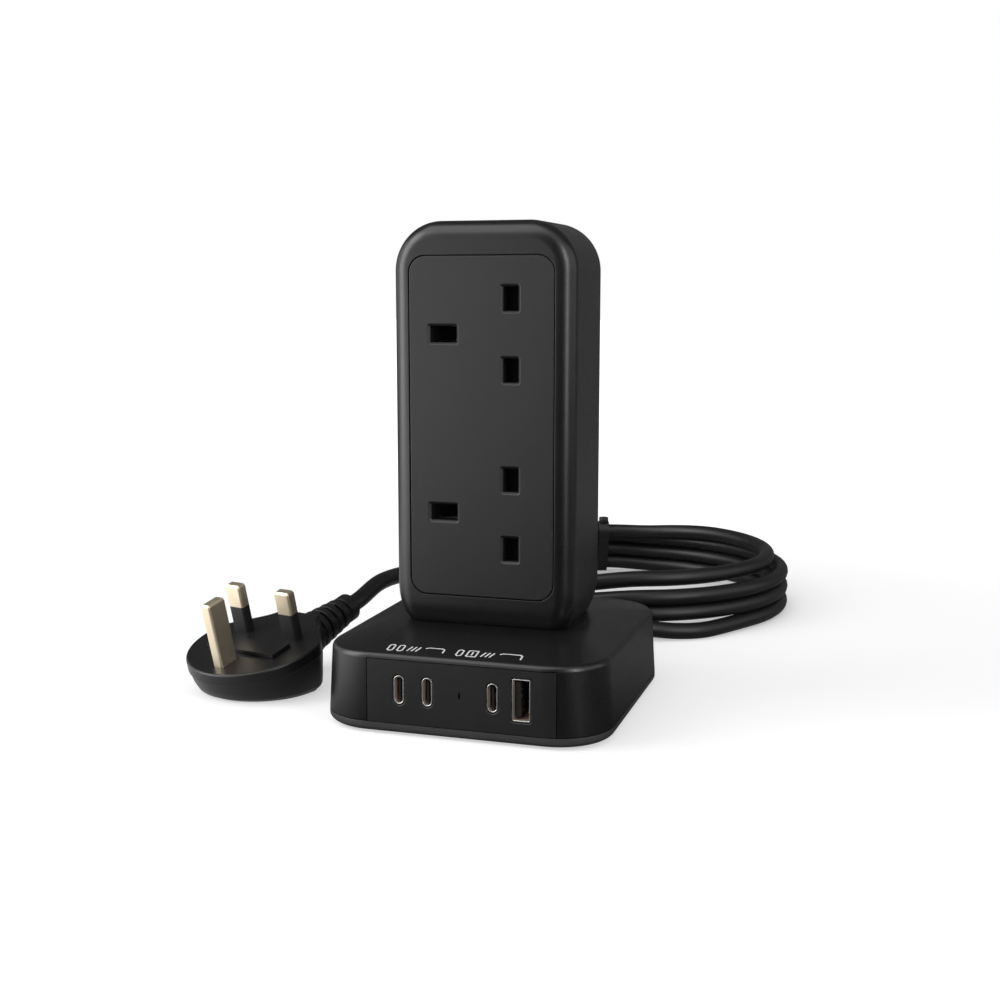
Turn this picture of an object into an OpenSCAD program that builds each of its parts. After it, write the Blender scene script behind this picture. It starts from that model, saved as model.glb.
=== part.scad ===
// Tower power strip: a square base with charging ports carries a slim tower
// with two three-pin sockets. The lead lies in a coil behind it, and its plug
// rests on the surface beside the base. Millimetres, +Z up, origin at the
// centre of the base where it stands on its feet.

/* [Tower] */
// Width of the tower
tower_w = 60; // [58:0.5:66]
// Depth of the tower
tower_d = 40; // [39:0.5:46]
// Height of the tower above the top of the base
tower_h = 129; // [127:1:160]
// Radius of the two top corners, seen from the front
tower_r = 15.5; // [12:0.5:17]
// Radius along the front and back edges
edge_r = 4.5; // [3.5:0.25:5]
// Wall of the tower shell
wall = 2.5; // [2.2:0.1:2.8]
// How far the sides round in at the foot
foot_in = 3.2; // [2:0.2:4]
// Height over which the sides round in
foot_rise = 13; // [10:1:15]

/* [Socket face] */
// Width of the front plate
plate_w = 47.5; // [46:0.5:48]
// Height of the front plate
plate_h = 108; // [106:0.5:112]
// Corner radius of the front plate
plate_r = 5.3; // [3:0.1:7]
// Thickness of the front plate
plate_t = 3; // [2.6:0.1:3.4]
// Gap round the front plate
plate_gap = 0.3; // [0.2:0.05:0.5]
// Height of the plate's lower edge above the foot of the tower
plate_rise = 10; // [9:0.5:11]
// Distance between the centres of the two sockets
socket_step = 56.8; // [54:0.2:58]
// Distance between pins, along and across a socket
pin_step = 22.23; // [21.8:0.01:22.6]
// Width of a live or neutral slot
slot_w = 5; // [4.8:0.1:5.4]
// Height of a live or neutral slot
slot_h = 7.6; // [7.2:0.1:8]
// Width of the earth slot
earth_w = 8.8; // [8.6:0.1:9.2]
// Height of the earth slot
earth_h = 5.2; // [5:0.1:5.6]
// Travel of a shutter
shutter_travel = 6.2; // [6:0.05:6.3]

/* [Base] */
// Width of the base
base_w = 94; // [92:1:110]
// Depth of the base
base_d = 98; // [96:1:112]
// Height of the base at its edge
base_h = 26; // [25.5:0.5:30]
// Rise of the top of the base from its edge to the tower
crown = 3; // [2.6:0.2:5]
// Corner radius of the base
base_r = 18; // [14:1:22]
// Radius along the top edge of the base
base_edge = 2; // [1:0.25:2.5]
// Wall of the base cover
base_wall = 2.2; // [2:0.1:2.4]
// How far the sides of the base lean in
base_in = 1.6; // [0:0.1:2]
// Thickness of the bottom plate
pan_t = 3; // [2.6:0.1:3.4]
// Height of the feet below the bottom plate
foot_h = 0.8; // [0.6:0.1:1.2]
// Diameter of a foot
foot_d = 11; // [9:0.5:11.5]
// Left edge of the port panel
panel_x0 = -28; // [-29:0.5:-27]
// Width of the port panel
panel_w = 61; // [59:0.5:62]
// Height of the port centres above the surface
port_z = 14.7; // [14:0.1:15.2]

/* [Plug] */
// Greatest width of the plug
plug_w = 48; // [47:0.5:50]
// Length of the plug from its earth end to the live and neutral pins
plug_front = 31; // [30:0.5:34]
// Length of the plug from the live and neutral pins to its neck
plug_back = 18; // [16:0.5:22]
// Lean of the pin face, lying on its back
plug_tilt = 14; // [12:0.5:15]
// Height of the pin face above the surface, at the live and neutral pins
plug_h = 18; // [17.5:0.5:20]
// Length of a live or neutral pin
pin_l = 17.7; // [17:0.1:18.2]
// Length of the earth pin
earth_l = 22.7; // [22:0.1:23.4]
// Width of a live or neutral pin
pin_w = 6.35; // [6.2:0.05:6.5]
// Thickness of every pin
pin_t = 3.97; // [3.85:0.01:4.05]
// Width of the earth pin
earth_pin_w = 7.92; // [7.7:0.01:8]

/* [Lead] */
// Diameter of the lead
cord_d = 6.4; // [6:0.1:6.8]
// Gap between turns of the coil
turn_gap = 0.3; // [0.25:0.05:0.5]

/* [Hidden] */
$fn = 48;

// Overrun of a cut through a face
eps = 0.1;
// Overrun of a cut into open air
over = 1;
// Running clearance between loose pieces
clear = 0.3;
// Play of a snug fit
snug = 0.1;
// Taken off a radius so that a short flat is left
nip = 0.01;

// Heights of the base and the tower
pan_z = foot_h + pan_t;
top_z = base_h + crown;
tower_top = top_z + tower_h;
plate_z = top_z + plate_rise + plate_h / 2;
// The sockets sit a little above the middle of the plate
socket_lift = 1.3;
socket_z = [plate_z + socket_lift + socket_step / 2, plate_z + socket_lift - socket_step / 2];
// The pins of a socket stand a little left of the middle of the plate
socket_x = -1.45;
line_x = socket_x + pin_step / 2;
earth_x = socket_x - pin_step / 2;
line_z = pin_step / 2;

// Depths in the tower, from its front face
face_y = -tower_d / 2;
plate_y = face_y + plate_t;
ledge_t = 2;
ledge_y = plate_y + ledge_t;
shutter_t = 1.6;
shutter_y = ledge_y + clear;
carrier_y = shutter_y + shutter_t + clear;
carrier_depth = 18.8;
bar_y = carrier_y + carrier_depth;
bar_t = 0.8;
back_y = tower_d / 2;
cover_t = 2.5;
cover_y = back_y - cover_t;
back_ledge_t = 2.5;
foot_in_y = 2.5;
foot_rise_y = 7.3;

// Ledge that carries the front plate and, at the back, the back cover
window_w = 42;
window_margin = 12;
window_h = plate_h - window_margin;
window_r = 3;
// How far the ledges run past the plate
ledge_past = 2;

// Screws and their bosses
screw_hole = 3.2;
pilot_d = 2.4;
head_d = 5.4;
head_t = 1.8;
boss_d = 7;
boss_h = 9;
small_hole = 2.4;
small_pilot = 1.7;
small_head_d = 3.8;
small_head_t = 1.4;

// Plate and cover screws stand in the wide parts of the ledge
ledge_screw_x = 14;
ledge_screw_in = 3.2;
ledge_screw_z = plate_h / 2 - ledge_screw_in;
plate_pilot = 2.2;
cover_boss_h = 7;
cover_screw_l = 6;
cover_seat = 1.4;
cover_head_y = back_y - cover_seat;
pilot_skin = 0.2;
screw_short = 2;
tower_screw_short = 3;

// Socket carriers
carrier_w = 51.2;
carrier_h = 48;
pad_w = 4.4;
pad_h = 5.5;
carrier_screw_x = 23.2;
carrier_screw_z = 21.3;
clip_t = 0.6;
clip_grip = 0.17;
clip_gap = pin_t - clip_grip;
clip_reach = 14;
line_pocket_w = 6.4;
line_pocket_h = 8;
line_clip_h = 5.6;
earth_pocket_w = 9.2;
earth_pocket_h = 6.4;
earth_clip_w = 7;
bar_w = 5;
bar_offset = 6.2;
bar_lap = 2;
live_bar_x = line_x + bar_offset;
neutral_bar_x = line_x - bar_offset;

// Shutter
blade_w = 7.4;
blade_h = 31.2;
blade_past = 3.75;
blade_x = line_x + blade_past - blade_w;
bridge_h = 13;
ramp_l = shutter_travel;
ramp_x = earth_x - earth_pin_w / 2;
ramp_back = 2.5;
ramp_w = 4.4;
ramp_depth = 6;
pin_window_h = 5.8;
rail_w = 1.5;
rail_h = 1.9;
tab_w = 3.2;
tab_t = 1.4;
tab_reach = 3.2;
spring_d = 2.8;
spring_wall = 0.7;
spring_from_earth = 6.55;
spring_x = earth_x + spring_from_earth;
tab_lap = 0.6;
tab_x = blade_x - tab_t + tab_lap;
spring_in = 1.6;
spring_y = carrier_y + spring_in;
trough_past = 1.5;
trough_w = 4.4;
trough_d = 3.4;
collar_wall = 1.3;
slot_bevel = 0.8;
bevel_r = 0.05;

// Ports: receptacle shells stand on an upright board behind the panel
face_set = 0.2;
port_len = 9.8;
shell_t = 0.3;
usb_c_w = 3.3;
usb_c_h = 9;
usb_a_w = 5.7;
usb_a_h = 13.1;
usb_a_r = 0.5;
port_room = 0.3;
tongue_in = 1;
usb_c_tongue_w = 0.7;
usb_c_tongue_h = 6.7;
usb_a_tongue_w = 1.84;
usb_a_tongue_h = 11.1;
usb_a_tongue_x = 0.75;
// Places of the ports across the panel, from the middle of the base
usb_c_x = [-17.3, -8.05, 12.9];
usb_a_x = 22;
light_x = 2.4;
light_w = 0.5;
light_h = 2.4;
led_w = 2;
led_d = 1.4;
base_front = -base_d / 2;
port_y = base_front + face_set;
port_board_y = port_y + port_len;
board_t = 1.6;
port_board_h = 17.6;
port_board_w = 60;
panel_t = 3.6;
panel_flange = 2.5;
panel_flange_drop = 2;
panel_room = 3;
panel_top = 24.3;
seam = 0.25;

// Boards and parts inside the base
link_size = [10, 3, 6];
power_w = 58;
power_d = 40;
power_y0 = port_board_y + board_t + link_size[1];
standoff_h = 5;
standoff_d = 5;
power_z = pan_z + standoff_h;
standoff_in = 4;
standoff_x = power_w / 2 - standoff_in;
standoff_y = power_d / 2 - standoff_in;
board_bite = 2;
power_cy = power_y0 + power_d / 2;
transformer_size = [20, 17, 11];
// Places on the power board, from the middle of its front edge
transformer_at = [-13, 13.4];
bobbin_share = 0.25;
core_share = 0.84;
capacitor_d = [10, 8];
capacitor_h = [11, 10];
capacitor_at = [[12, 10.4], [13, 24.4]];
holder_w = 4;
holder_d = 4.6;
holder_h = 9;
holder_past = 1;
holder_x = port_board_w / 2 - holder_w / 2 + holder_past;

// Feet and base screws, as shares of the half size of the base
foot_x_share = 0.70;
foot_y_share = 0.72;
screw_x_share = 0.845;
screw_y_share = 0.45;
foot_t = 1.6;
post_d = 7;
post_shoulder = 0.5;
lip_h = 2;
lip_t = 1.4;
rim_chamfer = 1.5;
tower_screw_x = 18;
tower_screw_y = 8.5;
wire_hole_d = 12;
wire_hole_y = 10;

// Gland in the rear wall
gland_x = 16;
gland_z = 12;
gland_out = 18;
gland_d = 13;
gland_tip_d = 9;
gland_flange_d = 15.5;
gland_flange_t = 2;
gland_neck_d = 11.6;
gland_ribs = 4;
gland_fit = 0.1;
rear_y = base_d / 2;
tail_in = 15;
tail_y = rear_y - tail_in;
clamp_w = 22;
clamp_d = 6;
clamp_t = 2.6;
clamp_in = 8.5;
clamp_y = rear_y - clamp_in;
clamp_screw_x = 7.5;
clamp_bite = 3;
saddle_d = clamp_d;

// Inner wires, from the end of the lead to the backs of the contact bars
wire_d = 2.2;
live_route = [[17.65, 34, 12.95], [15.5, 27, 16], [9, 16, 21], [3.8, 11.2, 27], [3.8, 11, 34], [5, 11.5, 40],
              [9, 12, 50], [14.4, 12, 62], [15.9, 11.4, 71], [15.9, 9.4, 77.4], [15.9, 6.8, 79]];
neutral_route = [[14.35, 34, 12.95], [11, 27, 15], [4.5, 17.5, 20], [0.2, 13.2, 27], [0.2, 13, 34],
                 [2, 12, 44], [3.4, 11.5, 50], [3.5, 9.6, 55.4], [3.5, 6.8, 57]];
earth_route = [[16, 34, 10.1], [12, 26, 12], [3, 14.5, 19], [-3.5, 9.5, 27], [-4.5, 9.6, 34],
               [-6.5, 10.4, 42], [-10.5, 11.6, 54], [-12.4, 11.4, 62], [-12.6, 9.4, 67.4], [-12.6, 6.8, 69]];

// Coil: turns run anticlockwise seen from above, each on the one below
coil_c = [8, 160];
coil_r = 68;
coil_start = -30;
coil_turns = 3 + 7 / 12;
coil_rings = 24;
turn_step = cord_d + turn_gap;
// Angles between which each turn climbs onto the one below
climb_from = 235;
climb_to = 290;
// The top turn lies inside the others and dips at the tie
top_in = 6;
tie_dip = 3.2;
tie_dip_angle = 55;
tie_angle = 112;
tie_w = 5;
tie_t = 0.9;
tie_room = 0.25;
tie_lift = 1.2;
tie_lift_angle = 24;
tie_knot_d = 4.4;
tie_knot_h = 2.4;
tie_knot_in = 1;
// Hand-set route from the gland to the coil
lead_in_route = [[16, 67, 12], [16.9, 73.7, 11.4], [20.7, 81.9, 9.4], [26, 87.5, 7.2],
                 [33.1, 91.4, 4.9], [43, 95.6, 3.6], [53.5, 103, 3.2]];
// Hand-set route from the coil to the plug
lead_out_route = [[-55.3, 143, 23.2], [-58, 127, 22.6], [-61.3, 109, 21.6], [-64.3, 90, 22],
                  [-66.3, 72, 23.5], [-67.5, 57, 23.5]];

// Plug, laid on its back beside the base
plug_at = [-82, -8];
plug_turn = -15;
plug_lift = 0.02;
plug_round = 24;
neck_w = 17;
plug_edge = 0.9;
plug_points = 40;
// Where the sides start to draw in, on the earth side of the pins
plug_waist = 3;
// The body under the face: how far each ring is drawn in, as shares of the
// least ring's inset, and how deep it lies, as shares of the body's depth
plug_under = 5;
plug_inset_shares = [1, 0.6, 0.4, 0.24, 0.08, 0, 0.06];
plug_depth_shares = [1, 0.94, 0.84, 0.5, 0.16, 0.08, 0.03];
sleeve_l = 9.5;
pin_root = 6;
neck_pin_w = 5.2;
neck_pin_t = 2.9;
pin_tip = 1;
tip_share = 0.7;
blade_r = 0.02;
pin_fit = 0.05;
fuse_y = -10.7;
fuse_d = 6.35;
fuse_l = 25.4;
fuse_cap_l = 6;
fuse_case_d = 5.9;
fuse_play = 0.2;
fuse_lip = 0.4;
carrier_l = 30;
carrier_t = 9.2;
carrier_deep = 8.4;
carrier_proud = 1.4;
carrier_fit = 0.3;
carrier_raise = 1.8;
notch_w = 6;
notch_d = 1.2;
contact_t = 0.6;
contact_w = 5;
relief_l = 26;
relief_drop = 10;
relief_ribs = 5;
relief_d0 = 15;
relief_d1 = 10.5;
relief_core = 8.6;
relief_root = 5;
relief_straight = 7;
rib_share = 0.62;
collar_l = 5;

// Colours
case_black = [0.11, 0.11, 0.12];
face_black = [0.15, 0.15, 0.16];
cord_black = [0.09, 0.09, 0.10];
slot_grey = [0.24, 0.24, 0.25];
steel = [0.72, 0.73, 0.75];
brass = [0.78, 0.66, 0.42];
pin_gold = [0.80, 0.72, 0.58];
board_green = [0.10, 0.36, 0.22];
rubber = [0.07, 0.07, 0.07];
wire_brown = [0.40, 0.22, 0.12];
wire_blue = [0.12, 0.30, 0.70];
wire_green = [0.35, 0.62, 0.16];
carrier_white = [0.86, 0.85, 0.80];

// Direction of a vector
function unit(v) = v / norm(v);

// Ramp from 0 to 1 with soft ends
function soft(s) = let(q = max(0, min(1, s))) q * q * (3 - 2 * q);

// Rounded rectangle as a ring of points at height z
function round_ring(a, b, r, z, n = 8) =
    [for (q = [0:3])
        let(sx = (q == 0 || q == 3) ? 1 : -1, sy = q < 2 ? 1 : -1)
        for (k = [0:n])
            let(t = 90 * (q + k / n))
            [sx * (a - r) + r * cos(t), sy * (b - r) + r * sin(t), z]];

// Four mirrored copies of a quarter ring, in order
function mirror_ring(quarter, z) =
    let(n = len(quarter) - 1)
    concat([for (k = [0:n]) [quarter[k][0], quarter[k][1], z]],
           [for (k = [n:-1:0]) [-quarter[k][0], quarter[k][1], z]],
           [for (k = [0:n]) [-quarter[k][0], -quarter[k][1], z]],
           [for (k = [n:-1:0]) [quarter[k][0], -quarter[k][1], z]]);

// Closed skin over rings that have the same number of points, lowest first
module loft(rings) {
    m = len(rings[0]);
    n = len(rings);
    sides = [for (j = [0:n - 2])
                for (i = [0:m - 1])
                    let(a = j * m + i, b = j * m + (i + 1) % m)
                    each [[a, a + m, b + m], [a, b + m, b]]];
    polyhedron(points = [for (r = rings) each r],
               faces = concat([[for (i = [0:m - 1]) i]], sides,
                              [[for (i = [m - 1:-1:0]) (n - 1) * m + i]]),
               convexity = 6);
}

// Ring of a round tube, square to direction t; up is any direction the tube never takes
function tube_ring(p, t, r, sides, turn, up) =
    let(s = unit(cross(t, up)), u = cross(s, t))
    [for (k = [0:sides - 1])
        let(a = turn + 360 * k / sides)
        p + r * (cos(a) * s - sin(a) * u)];

// Round tube along points, with its end faces square to t0 and t1
module tube(points, d, sides, t0, t1, turn = 0, up = [0, 0, 1]) {
    n = len(points);
    loft([for (i = [0:n - 1])
            let(t = i == 0 ? t0 : i == n - 1 ? t1 : unit(points[i + 1] - points[i - 1]))
            tube_ring(points[i], t, d / 2, sides, turn, up)]);
}

// Point of a smooth curve through four points, between the middle two
function curve_point(a, b, c, d, s) =
    0.5 * ((2 * b) + (c - a) * s + (2 * a - 5 * b + 4 * c - d) * s * s
           + (3 * b - a - 3 * c + d) * s * s * s);

// Smooth curve through hand-set points, with steps between each pair
function curve(points, steps) =
    let(n = len(points))
    concat([for (i = [0:n - 2])
                let(a = points[max(i - 1, 0)], d = points[min(i + 2, n - 1)])
                for (k = [0:steps - 1])
                    curve_point(a, points[i], points[i + 1], d, k / steps)],
           [points[n - 1]]);

// Rounded rectangle, exact
module round_square(w, h, r) {
    square([w - 2 * r, h], center = true);
    square([w, h - 2 * r], center = true);
    for (x = [-1, 1]) {
        for (y = [-1, 1]) {
            translate([x * (w / 2 - r), y * (h / 2 - r)]) circle(r);
        }
    }
}

// Upright slab of that outline, facing the front, from y0 to y1
module upright_slab(w, h, r, y0, y1, x, z) {
    translate([x, y1, z]) rotate([90, 0, 0]) linear_extrude(y1 - y0) round_square(w, h, r);
}

// Cylinder along Y from y0 to y1
module rod_y(d, y0, y1, x, z) {
    translate([x, y1, z]) rotate([90, 0, 0]) cylinder(d = d, h = y1 - y0);
}

// Box from one corner to the other
module span(low, high) {
    translate(low) cube(high - low);
}

// Quarter of the tower's section at height z, for a shell drawn in by inset
function tower_quarter(z, inset, n = 5) =
    let(w = tower_w / 2 - inset, d = tower_d / 2 - inset, big = tower_r - inset, r = edge_r - inset,
        dz = max(0, z - (tower_top - tower_r)),
        phi = dz <= big - r ? 90 : acos(min(1, (dz - (big - r)) / r)),
        dx = foot_draw(z, foot_in, foot_rise), dy = foot_draw(z, foot_in_y, foot_rise_y))
    [for (k = [0:n])
        let(p = phi * k / n)
        [w - big + sqrt(max(0, pow(big - r + r * cos(p), 2) - dz * dz)) - dx,
         d - r + r * sin(p) - dy]];

// How far the foot has rounded in at height z
function foot_draw(z, draw, rise) =
    let(r = (rise * rise + draw * draw) / (2 * draw), h = max(0, top_z + rise - z))
    r - sqrt(r * r - min(h, rise) * min(h, rise));

// Heights of the sections of the tower, drawn in by inset
top_sliver = 0.02;
function tower_levels(inset, floor) =
    concat([for (k = [0:4]) floor + (top_z + foot_rise - floor) * k / 4],
           [tower_top - tower_r],
           [for (k = [1:8]) tower_top - tower_r + (tower_r - inset) * sin(10 * k)],
           [tower_top - inset - top_sliver]);

module tower_solid(inset, floor) {
    loft([for (z = tower_levels(inset, floor)) mirror_ring(tower_quarter(z, inset), z)]);
}

// Base cover, drawn in by inset: upright sides, a rounded edge and a low crown
edge_sweep = 74;
least_edge = 0.4;
skirt = 1;
skirt_round = 2;
function base_half(z) = base_w / 2 - base_in * z / base_h;
module base_solid(inset, floor) {
    edge = max(base_edge - inset, least_edge);
    shoulder = base_h - inset - edge;
    rim_in = edge * (1 - cos(edge_sweep)) + inset;
    rim_z = shoulder + edge * sin(edge_sweep);
    dome_z = top_z - inset;
    foot_a = tower_w / 2 - foot_in + skirt;
    foot_b = tower_d / 2 - foot_in_y + skirt;
    loft(concat(
        [round_ring(base_half(floor) - inset, base_d / 2 - inset, base_r - inset, floor)],
        [for (k = [0:3])
            let(t = edge_sweep * k / 3, s = inset + edge * (1 - cos(t)), z = shoulder + edge * sin(t))
            round_ring(base_half(z) - s, base_d / 2 - s, base_r - s, z)],
        [for (k = [1:5])
            let(s = k / 5, a = base_half(rim_z) - rim_in, b = base_d / 2 - rim_in, r = base_r - rim_in)
            round_ring(a + (foot_a - a) * s, b + (foot_b - b) * s, r + (edge_r + skirt_round - r) * s,
                       rim_z + (dome_z - rim_z) * sin(90 * s))]));
}

// Places on the base
function base_spots(sx, sy) =
    [for (x = [-1, 1]) for (y = [-1, 1]) [x * sx * base_w / 2, y * sy * base_d / 2]];
foot_spots = base_spots(foot_x_share, foot_y_share);
screw_spots = base_spots(screw_x_share, screw_y_share);
tower_spots = [for (x = [-1, 1]) for (y = [-1, 1]) [x * tower_screw_x, y * tower_screw_y]];
standoff_spots = [for (x = [-1, 1]) for (y = [-1, 1]) [x * standoff_x, power_cy + y * standoff_y]];
roof_z = top_z - base_wall;
post_z = pan_z + lip_h;

module base_cover() {
    color(case_black)
    difference() {
        union() {
            difference() {
                base_solid(0, pan_z);
                base_solid(base_wall, pan_z - eps);
            }
            for (p = screw_spots) {
                translate([p[0], p[1], post_z]) cylinder(d = post_d, h = base_h - post_z);
            }
        }
        // Seam above the bottom plate
        difference() {
            translate([0, 0, pan_z - eps])
                linear_extrude(seam + eps)
                round_square(base_w + base_wall, base_d + base_wall, base_r + base_wall / 2);
            translate([0, 0, pan_z - 2 * eps])
                linear_extrude(seam + 4 * eps)
                round_square(base_w - base_wall, base_d - base_wall, base_r - base_wall / 2);
        }
        // Window for the port panel, open below
        span([panel_x0, base_front - over, pan_z - eps],
             [panel_x0 + panel_w, base_front + panel_t, panel_top]);
        for (p = screw_spots) {
            translate([p[0], p[1], post_z - eps]) cylinder(d = pilot_d, h = boss_h + eps);
        }
        for (p = tower_spots) {
            translate([p[0], p[1], roof_z - over]) cylinder(d = screw_hole, h = base_wall + 2 * over);
        }
        translate([0, wire_hole_y, roof_z - over]) cylinder(d = wire_hole_d, h = base_wall + 2 * over);
        rod_y(gland_neck_d + 2 * gland_fit, rear_y - base_wall - over, rear_y + over, gland_x, gland_z);
    }
}

module base_plate() {
    a = base_half(pan_z);
    lip_in = base_wall + clear;
    lip_core = lip_in + lip_t;
    lip_top = pan_z + lip_h + over;
    color(case_black)
    difference() {
        union() {
            loft([round_ring(a - rim_chamfer, base_d / 2 - rim_chamfer, base_r - rim_chamfer, foot_h),
                  round_ring(a, base_d / 2, base_r, foot_h + rim_chamfer),
                  round_ring(a, base_d / 2, base_r, pan_z)]);
            // Locating lip inside the cover
            difference() {
                translate([0, 0, pan_z - eps]) linear_extrude(lip_h + eps)
                    round_square(2 * (a - lip_in), base_d - 2 * lip_in, base_r - lip_in);
                translate([0, 0, pan_z]) linear_extrude(lip_h + eps)
                    round_square(2 * (a - lip_core), base_d - 2 * lip_core, base_r - lip_core);
                // Room for the port panel, the gland and the screw posts
                span([panel_x0 - panel_room, base_front, pan_z],
                     [panel_x0 + panel_w + panel_room, base_front + panel_t + panel_room, lip_top]);
                span([gland_x - gland_flange_d / 2 - over, rear_y - base_wall - gland_flange_t - over, pan_z],
                     [gland_x + gland_flange_d / 2 + over, rear_y, lip_top]);
                for (p = screw_spots) {
                    translate([p[0], p[1], pan_z]) cylinder(d = post_d + 2 * clear, h = lip_h + over);
                }
            }
            for (p = screw_spots) {
                translate([p[0], p[1], pan_z - eps])
                    cylinder(d = post_d - 2 * post_shoulder, h = lip_h + eps);
            }
            for (p = standoff_spots) {
                translate([p[0], p[1], pan_z - eps]) cylinder(d = standoff_d, h = standoff_h + eps);
            }
            // Slotted holders for the upright port board
            for (x = [-1, 1]) {
                translate([x * holder_x - holder_w / 2, port_board_y + (board_t - holder_d) / 2, pan_z - eps])
                    cube([holder_w, holder_d, holder_h + eps]);
            }
            // Saddle under the lead
            span([gland_x - clamp_w / 2, clamp_y - saddle_d / 2, pan_z - eps],
                 [gland_x + clamp_w / 2, clamp_y + saddle_d / 2, gland_z + cord_d / 2]);
        }
        for (p = screw_spots) {
            translate([p[0], p[1], 0]) cylinder(d = screw_hole, h = pan_z + lip_h + over);
            translate([p[0], p[1], foot_h - eps]) cylinder(d = head_d + 2 * clear, h = head_t + eps);
        }
        for (p = foot_spots) {
            translate([p[0], p[1], foot_h - eps]) cylinder(d = foot_d + 2 * snug, h = foot_t - foot_h + eps);
        }
        for (p = standoff_spots) {
            translate([p[0], p[1], pan_z]) cylinder(d = small_pilot, h = standoff_h + over);
        }
        for (x = [-1, 1]) {
            translate([x * holder_x - holder_w, port_board_y - snug, pan_z])
                cube([2 * holder_w, board_t + 2 * snug, holder_h + over]);
        }
        rod_y(cord_d + snug, clamp_y - saddle_d, clamp_y + saddle_d, gland_x, gland_z);
        for (x = [-1, 1]) {
            translate([gland_x + x * clamp_screw_x, clamp_y, pan_z]) cylinder(d = small_pilot, h = gland_z);
        }
    }
}

// Panel with the port openings, flush with the front of the base
module port_panel() {
    color(face_black)
    difference() {
        union() {
            intersection() {
                base_solid(0, pan_z);
                span([panel_x0 + seam, base_front - over, pan_z + seam],
                     [panel_x0 + panel_w - seam, base_front + panel_t, panel_top - seam]);
            }
            intersection() {
                base_solid(base_wall + clear / 2, pan_z);
                span([panel_x0 - panel_flange, base_front, pan_z],
                     [panel_x0 + panel_w + panel_flange, base_front + panel_t,
                      panel_top - panel_flange_drop]);
            }
        }
        for (x = usb_c_x) {
            upright_slab(usb_c_w + 2 * port_room, usb_c_h + 2 * port_room, usb_c_w / 2 + port_room - nip,
                         base_front - over, base_front + panel_t + over, x, port_z);
        }
        upright_slab(usb_a_w + 2 * port_room, usb_a_h + 2 * port_room, usb_a_r + port_room,
                     base_front - over, base_front + panel_t + over, usb_a_x, port_z);
        span([light_x - light_w / 2 - snug, base_front - over, port_z - light_h / 2 - snug],
             [light_x + light_w / 2 + snug, base_front + panel_t + over, port_z + light_h / 2 + snug]);
    }
}

// Drawn metal sleeve of a receptacle
module port_shell(w, h, r, x) {
    color(steel)
    difference() {
        upright_slab(w, h, r, port_y, port_board_y, x, port_z);
        upright_slab(w - 2 * shell_t, h - 2 * shell_t, r - shell_t,
                     port_y - over, port_board_y + over, x, port_z);
    }
}
module usb_c_shell(i) {
    port_shell(usb_c_w, usb_c_h, usb_c_w / 2 - nip, usb_c_x[i]);
}
module usb_c_tongue(i) {
    color(slot_grey)
    upright_slab(usb_c_tongue_w, usb_c_tongue_h, usb_c_tongue_w / 2 - nip,
                 port_y + tongue_in, port_board_y, usb_c_x[i], port_z);
}
module usb_a_shell() {
    port_shell(usb_a_w, usb_a_h, usb_a_r, usb_a_x);
}
module usb_a_tongue() {
    x0 = usb_a_x - usb_a_w / 2 + usb_a_tongue_x;
    color(carrier_white)
    span([x0, port_y + tongue_in, port_z - usb_a_tongue_h / 2],
         [x0 + usb_a_tongue_w, port_board_y, port_z + usb_a_tongue_h / 2]);
}
module light_pipe() {
    color("white")
    union() {
        span([light_x - light_w / 2, base_front + face_set, port_z - light_h / 2],
             [light_x + light_w / 2, port_board_y - led_d, port_z + light_h / 2]);
        span([light_x - led_w / 2, port_board_y - led_d, port_z - led_w / 2],
             [light_x + led_w / 2, port_board_y, port_z + led_w / 2]);
    }
}
module port_board() {
    color(board_green)
    span([-port_board_w / 2, port_board_y, pan_z],
         [port_board_w / 2, port_board_y + board_t, pan_z + port_board_h]);
}
module power_board() {
    color(board_green)
    difference() {
        span([-power_w / 2, power_y0, power_z], [power_w / 2, power_y0 + power_d, power_z + board_t]);
        for (p = standoff_spots) {
            translate([p[0], p[1], power_z - eps]) cylinder(d = small_hole, h = board_t + 2 * eps);
        }
    }
}
module board_screws() {
    color(steel)
    for (p = standoff_spots) {
        translate([p[0], p[1], power_z + board_t]) cylinder(d = small_head_d, h = small_head_t);
        translate([p[0], p[1], power_z - board_bite])
            cylinder(d = small_pilot, h = board_t + board_bite + eps);
    }
}
module transformer() {
    color("goldenrod")
    translate([transformer_at[0], power_y0 + transformer_at[1], power_z + board_t])
    union() {
        translate([-transformer_size[0] / 2, -transformer_size[1] / 2, 0])
            cube([transformer_size[0], transformer_size[1], transformer_size[2] * bobbin_share]);
        translate([-transformer_size[0] * core_share / 2, -transformer_size[1] / 2, 0])
            cube([transformer_size[0] * core_share, transformer_size[1], transformer_size[2]]);
    }
}
module capacitor(i) {
    color("dimgray")
    translate([capacitor_at[i][0], power_y0 + capacitor_at[i][1], power_z + board_t])
        cylinder(d = capacitor_d[i], h = capacitor_h[i]);
}
module board_link() {
    color(rubber)
    span([-link_size[0] / 2, power_y0 - link_size[1], power_z],
         [link_size[0] / 2, power_y0, power_z + link_size[2]]);
}

module foot(i) {
    color(rubber)
    translate([foot_spots[i][0], foot_spots[i][1], 0]) cylinder(d = foot_d, h = foot_t);
}
module base_screws() {
    color(steel)
    for (p = screw_spots) {
        translate([p[0], p[1], foot_h + snug]) cylinder(d = head_d, h = head_t - snug);
        translate([p[0], p[1], foot_h + head_t - eps])
            cylinder(d = pilot_d, h = post_z + boss_h - screw_short - foot_h - head_t);
    }
}

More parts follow.
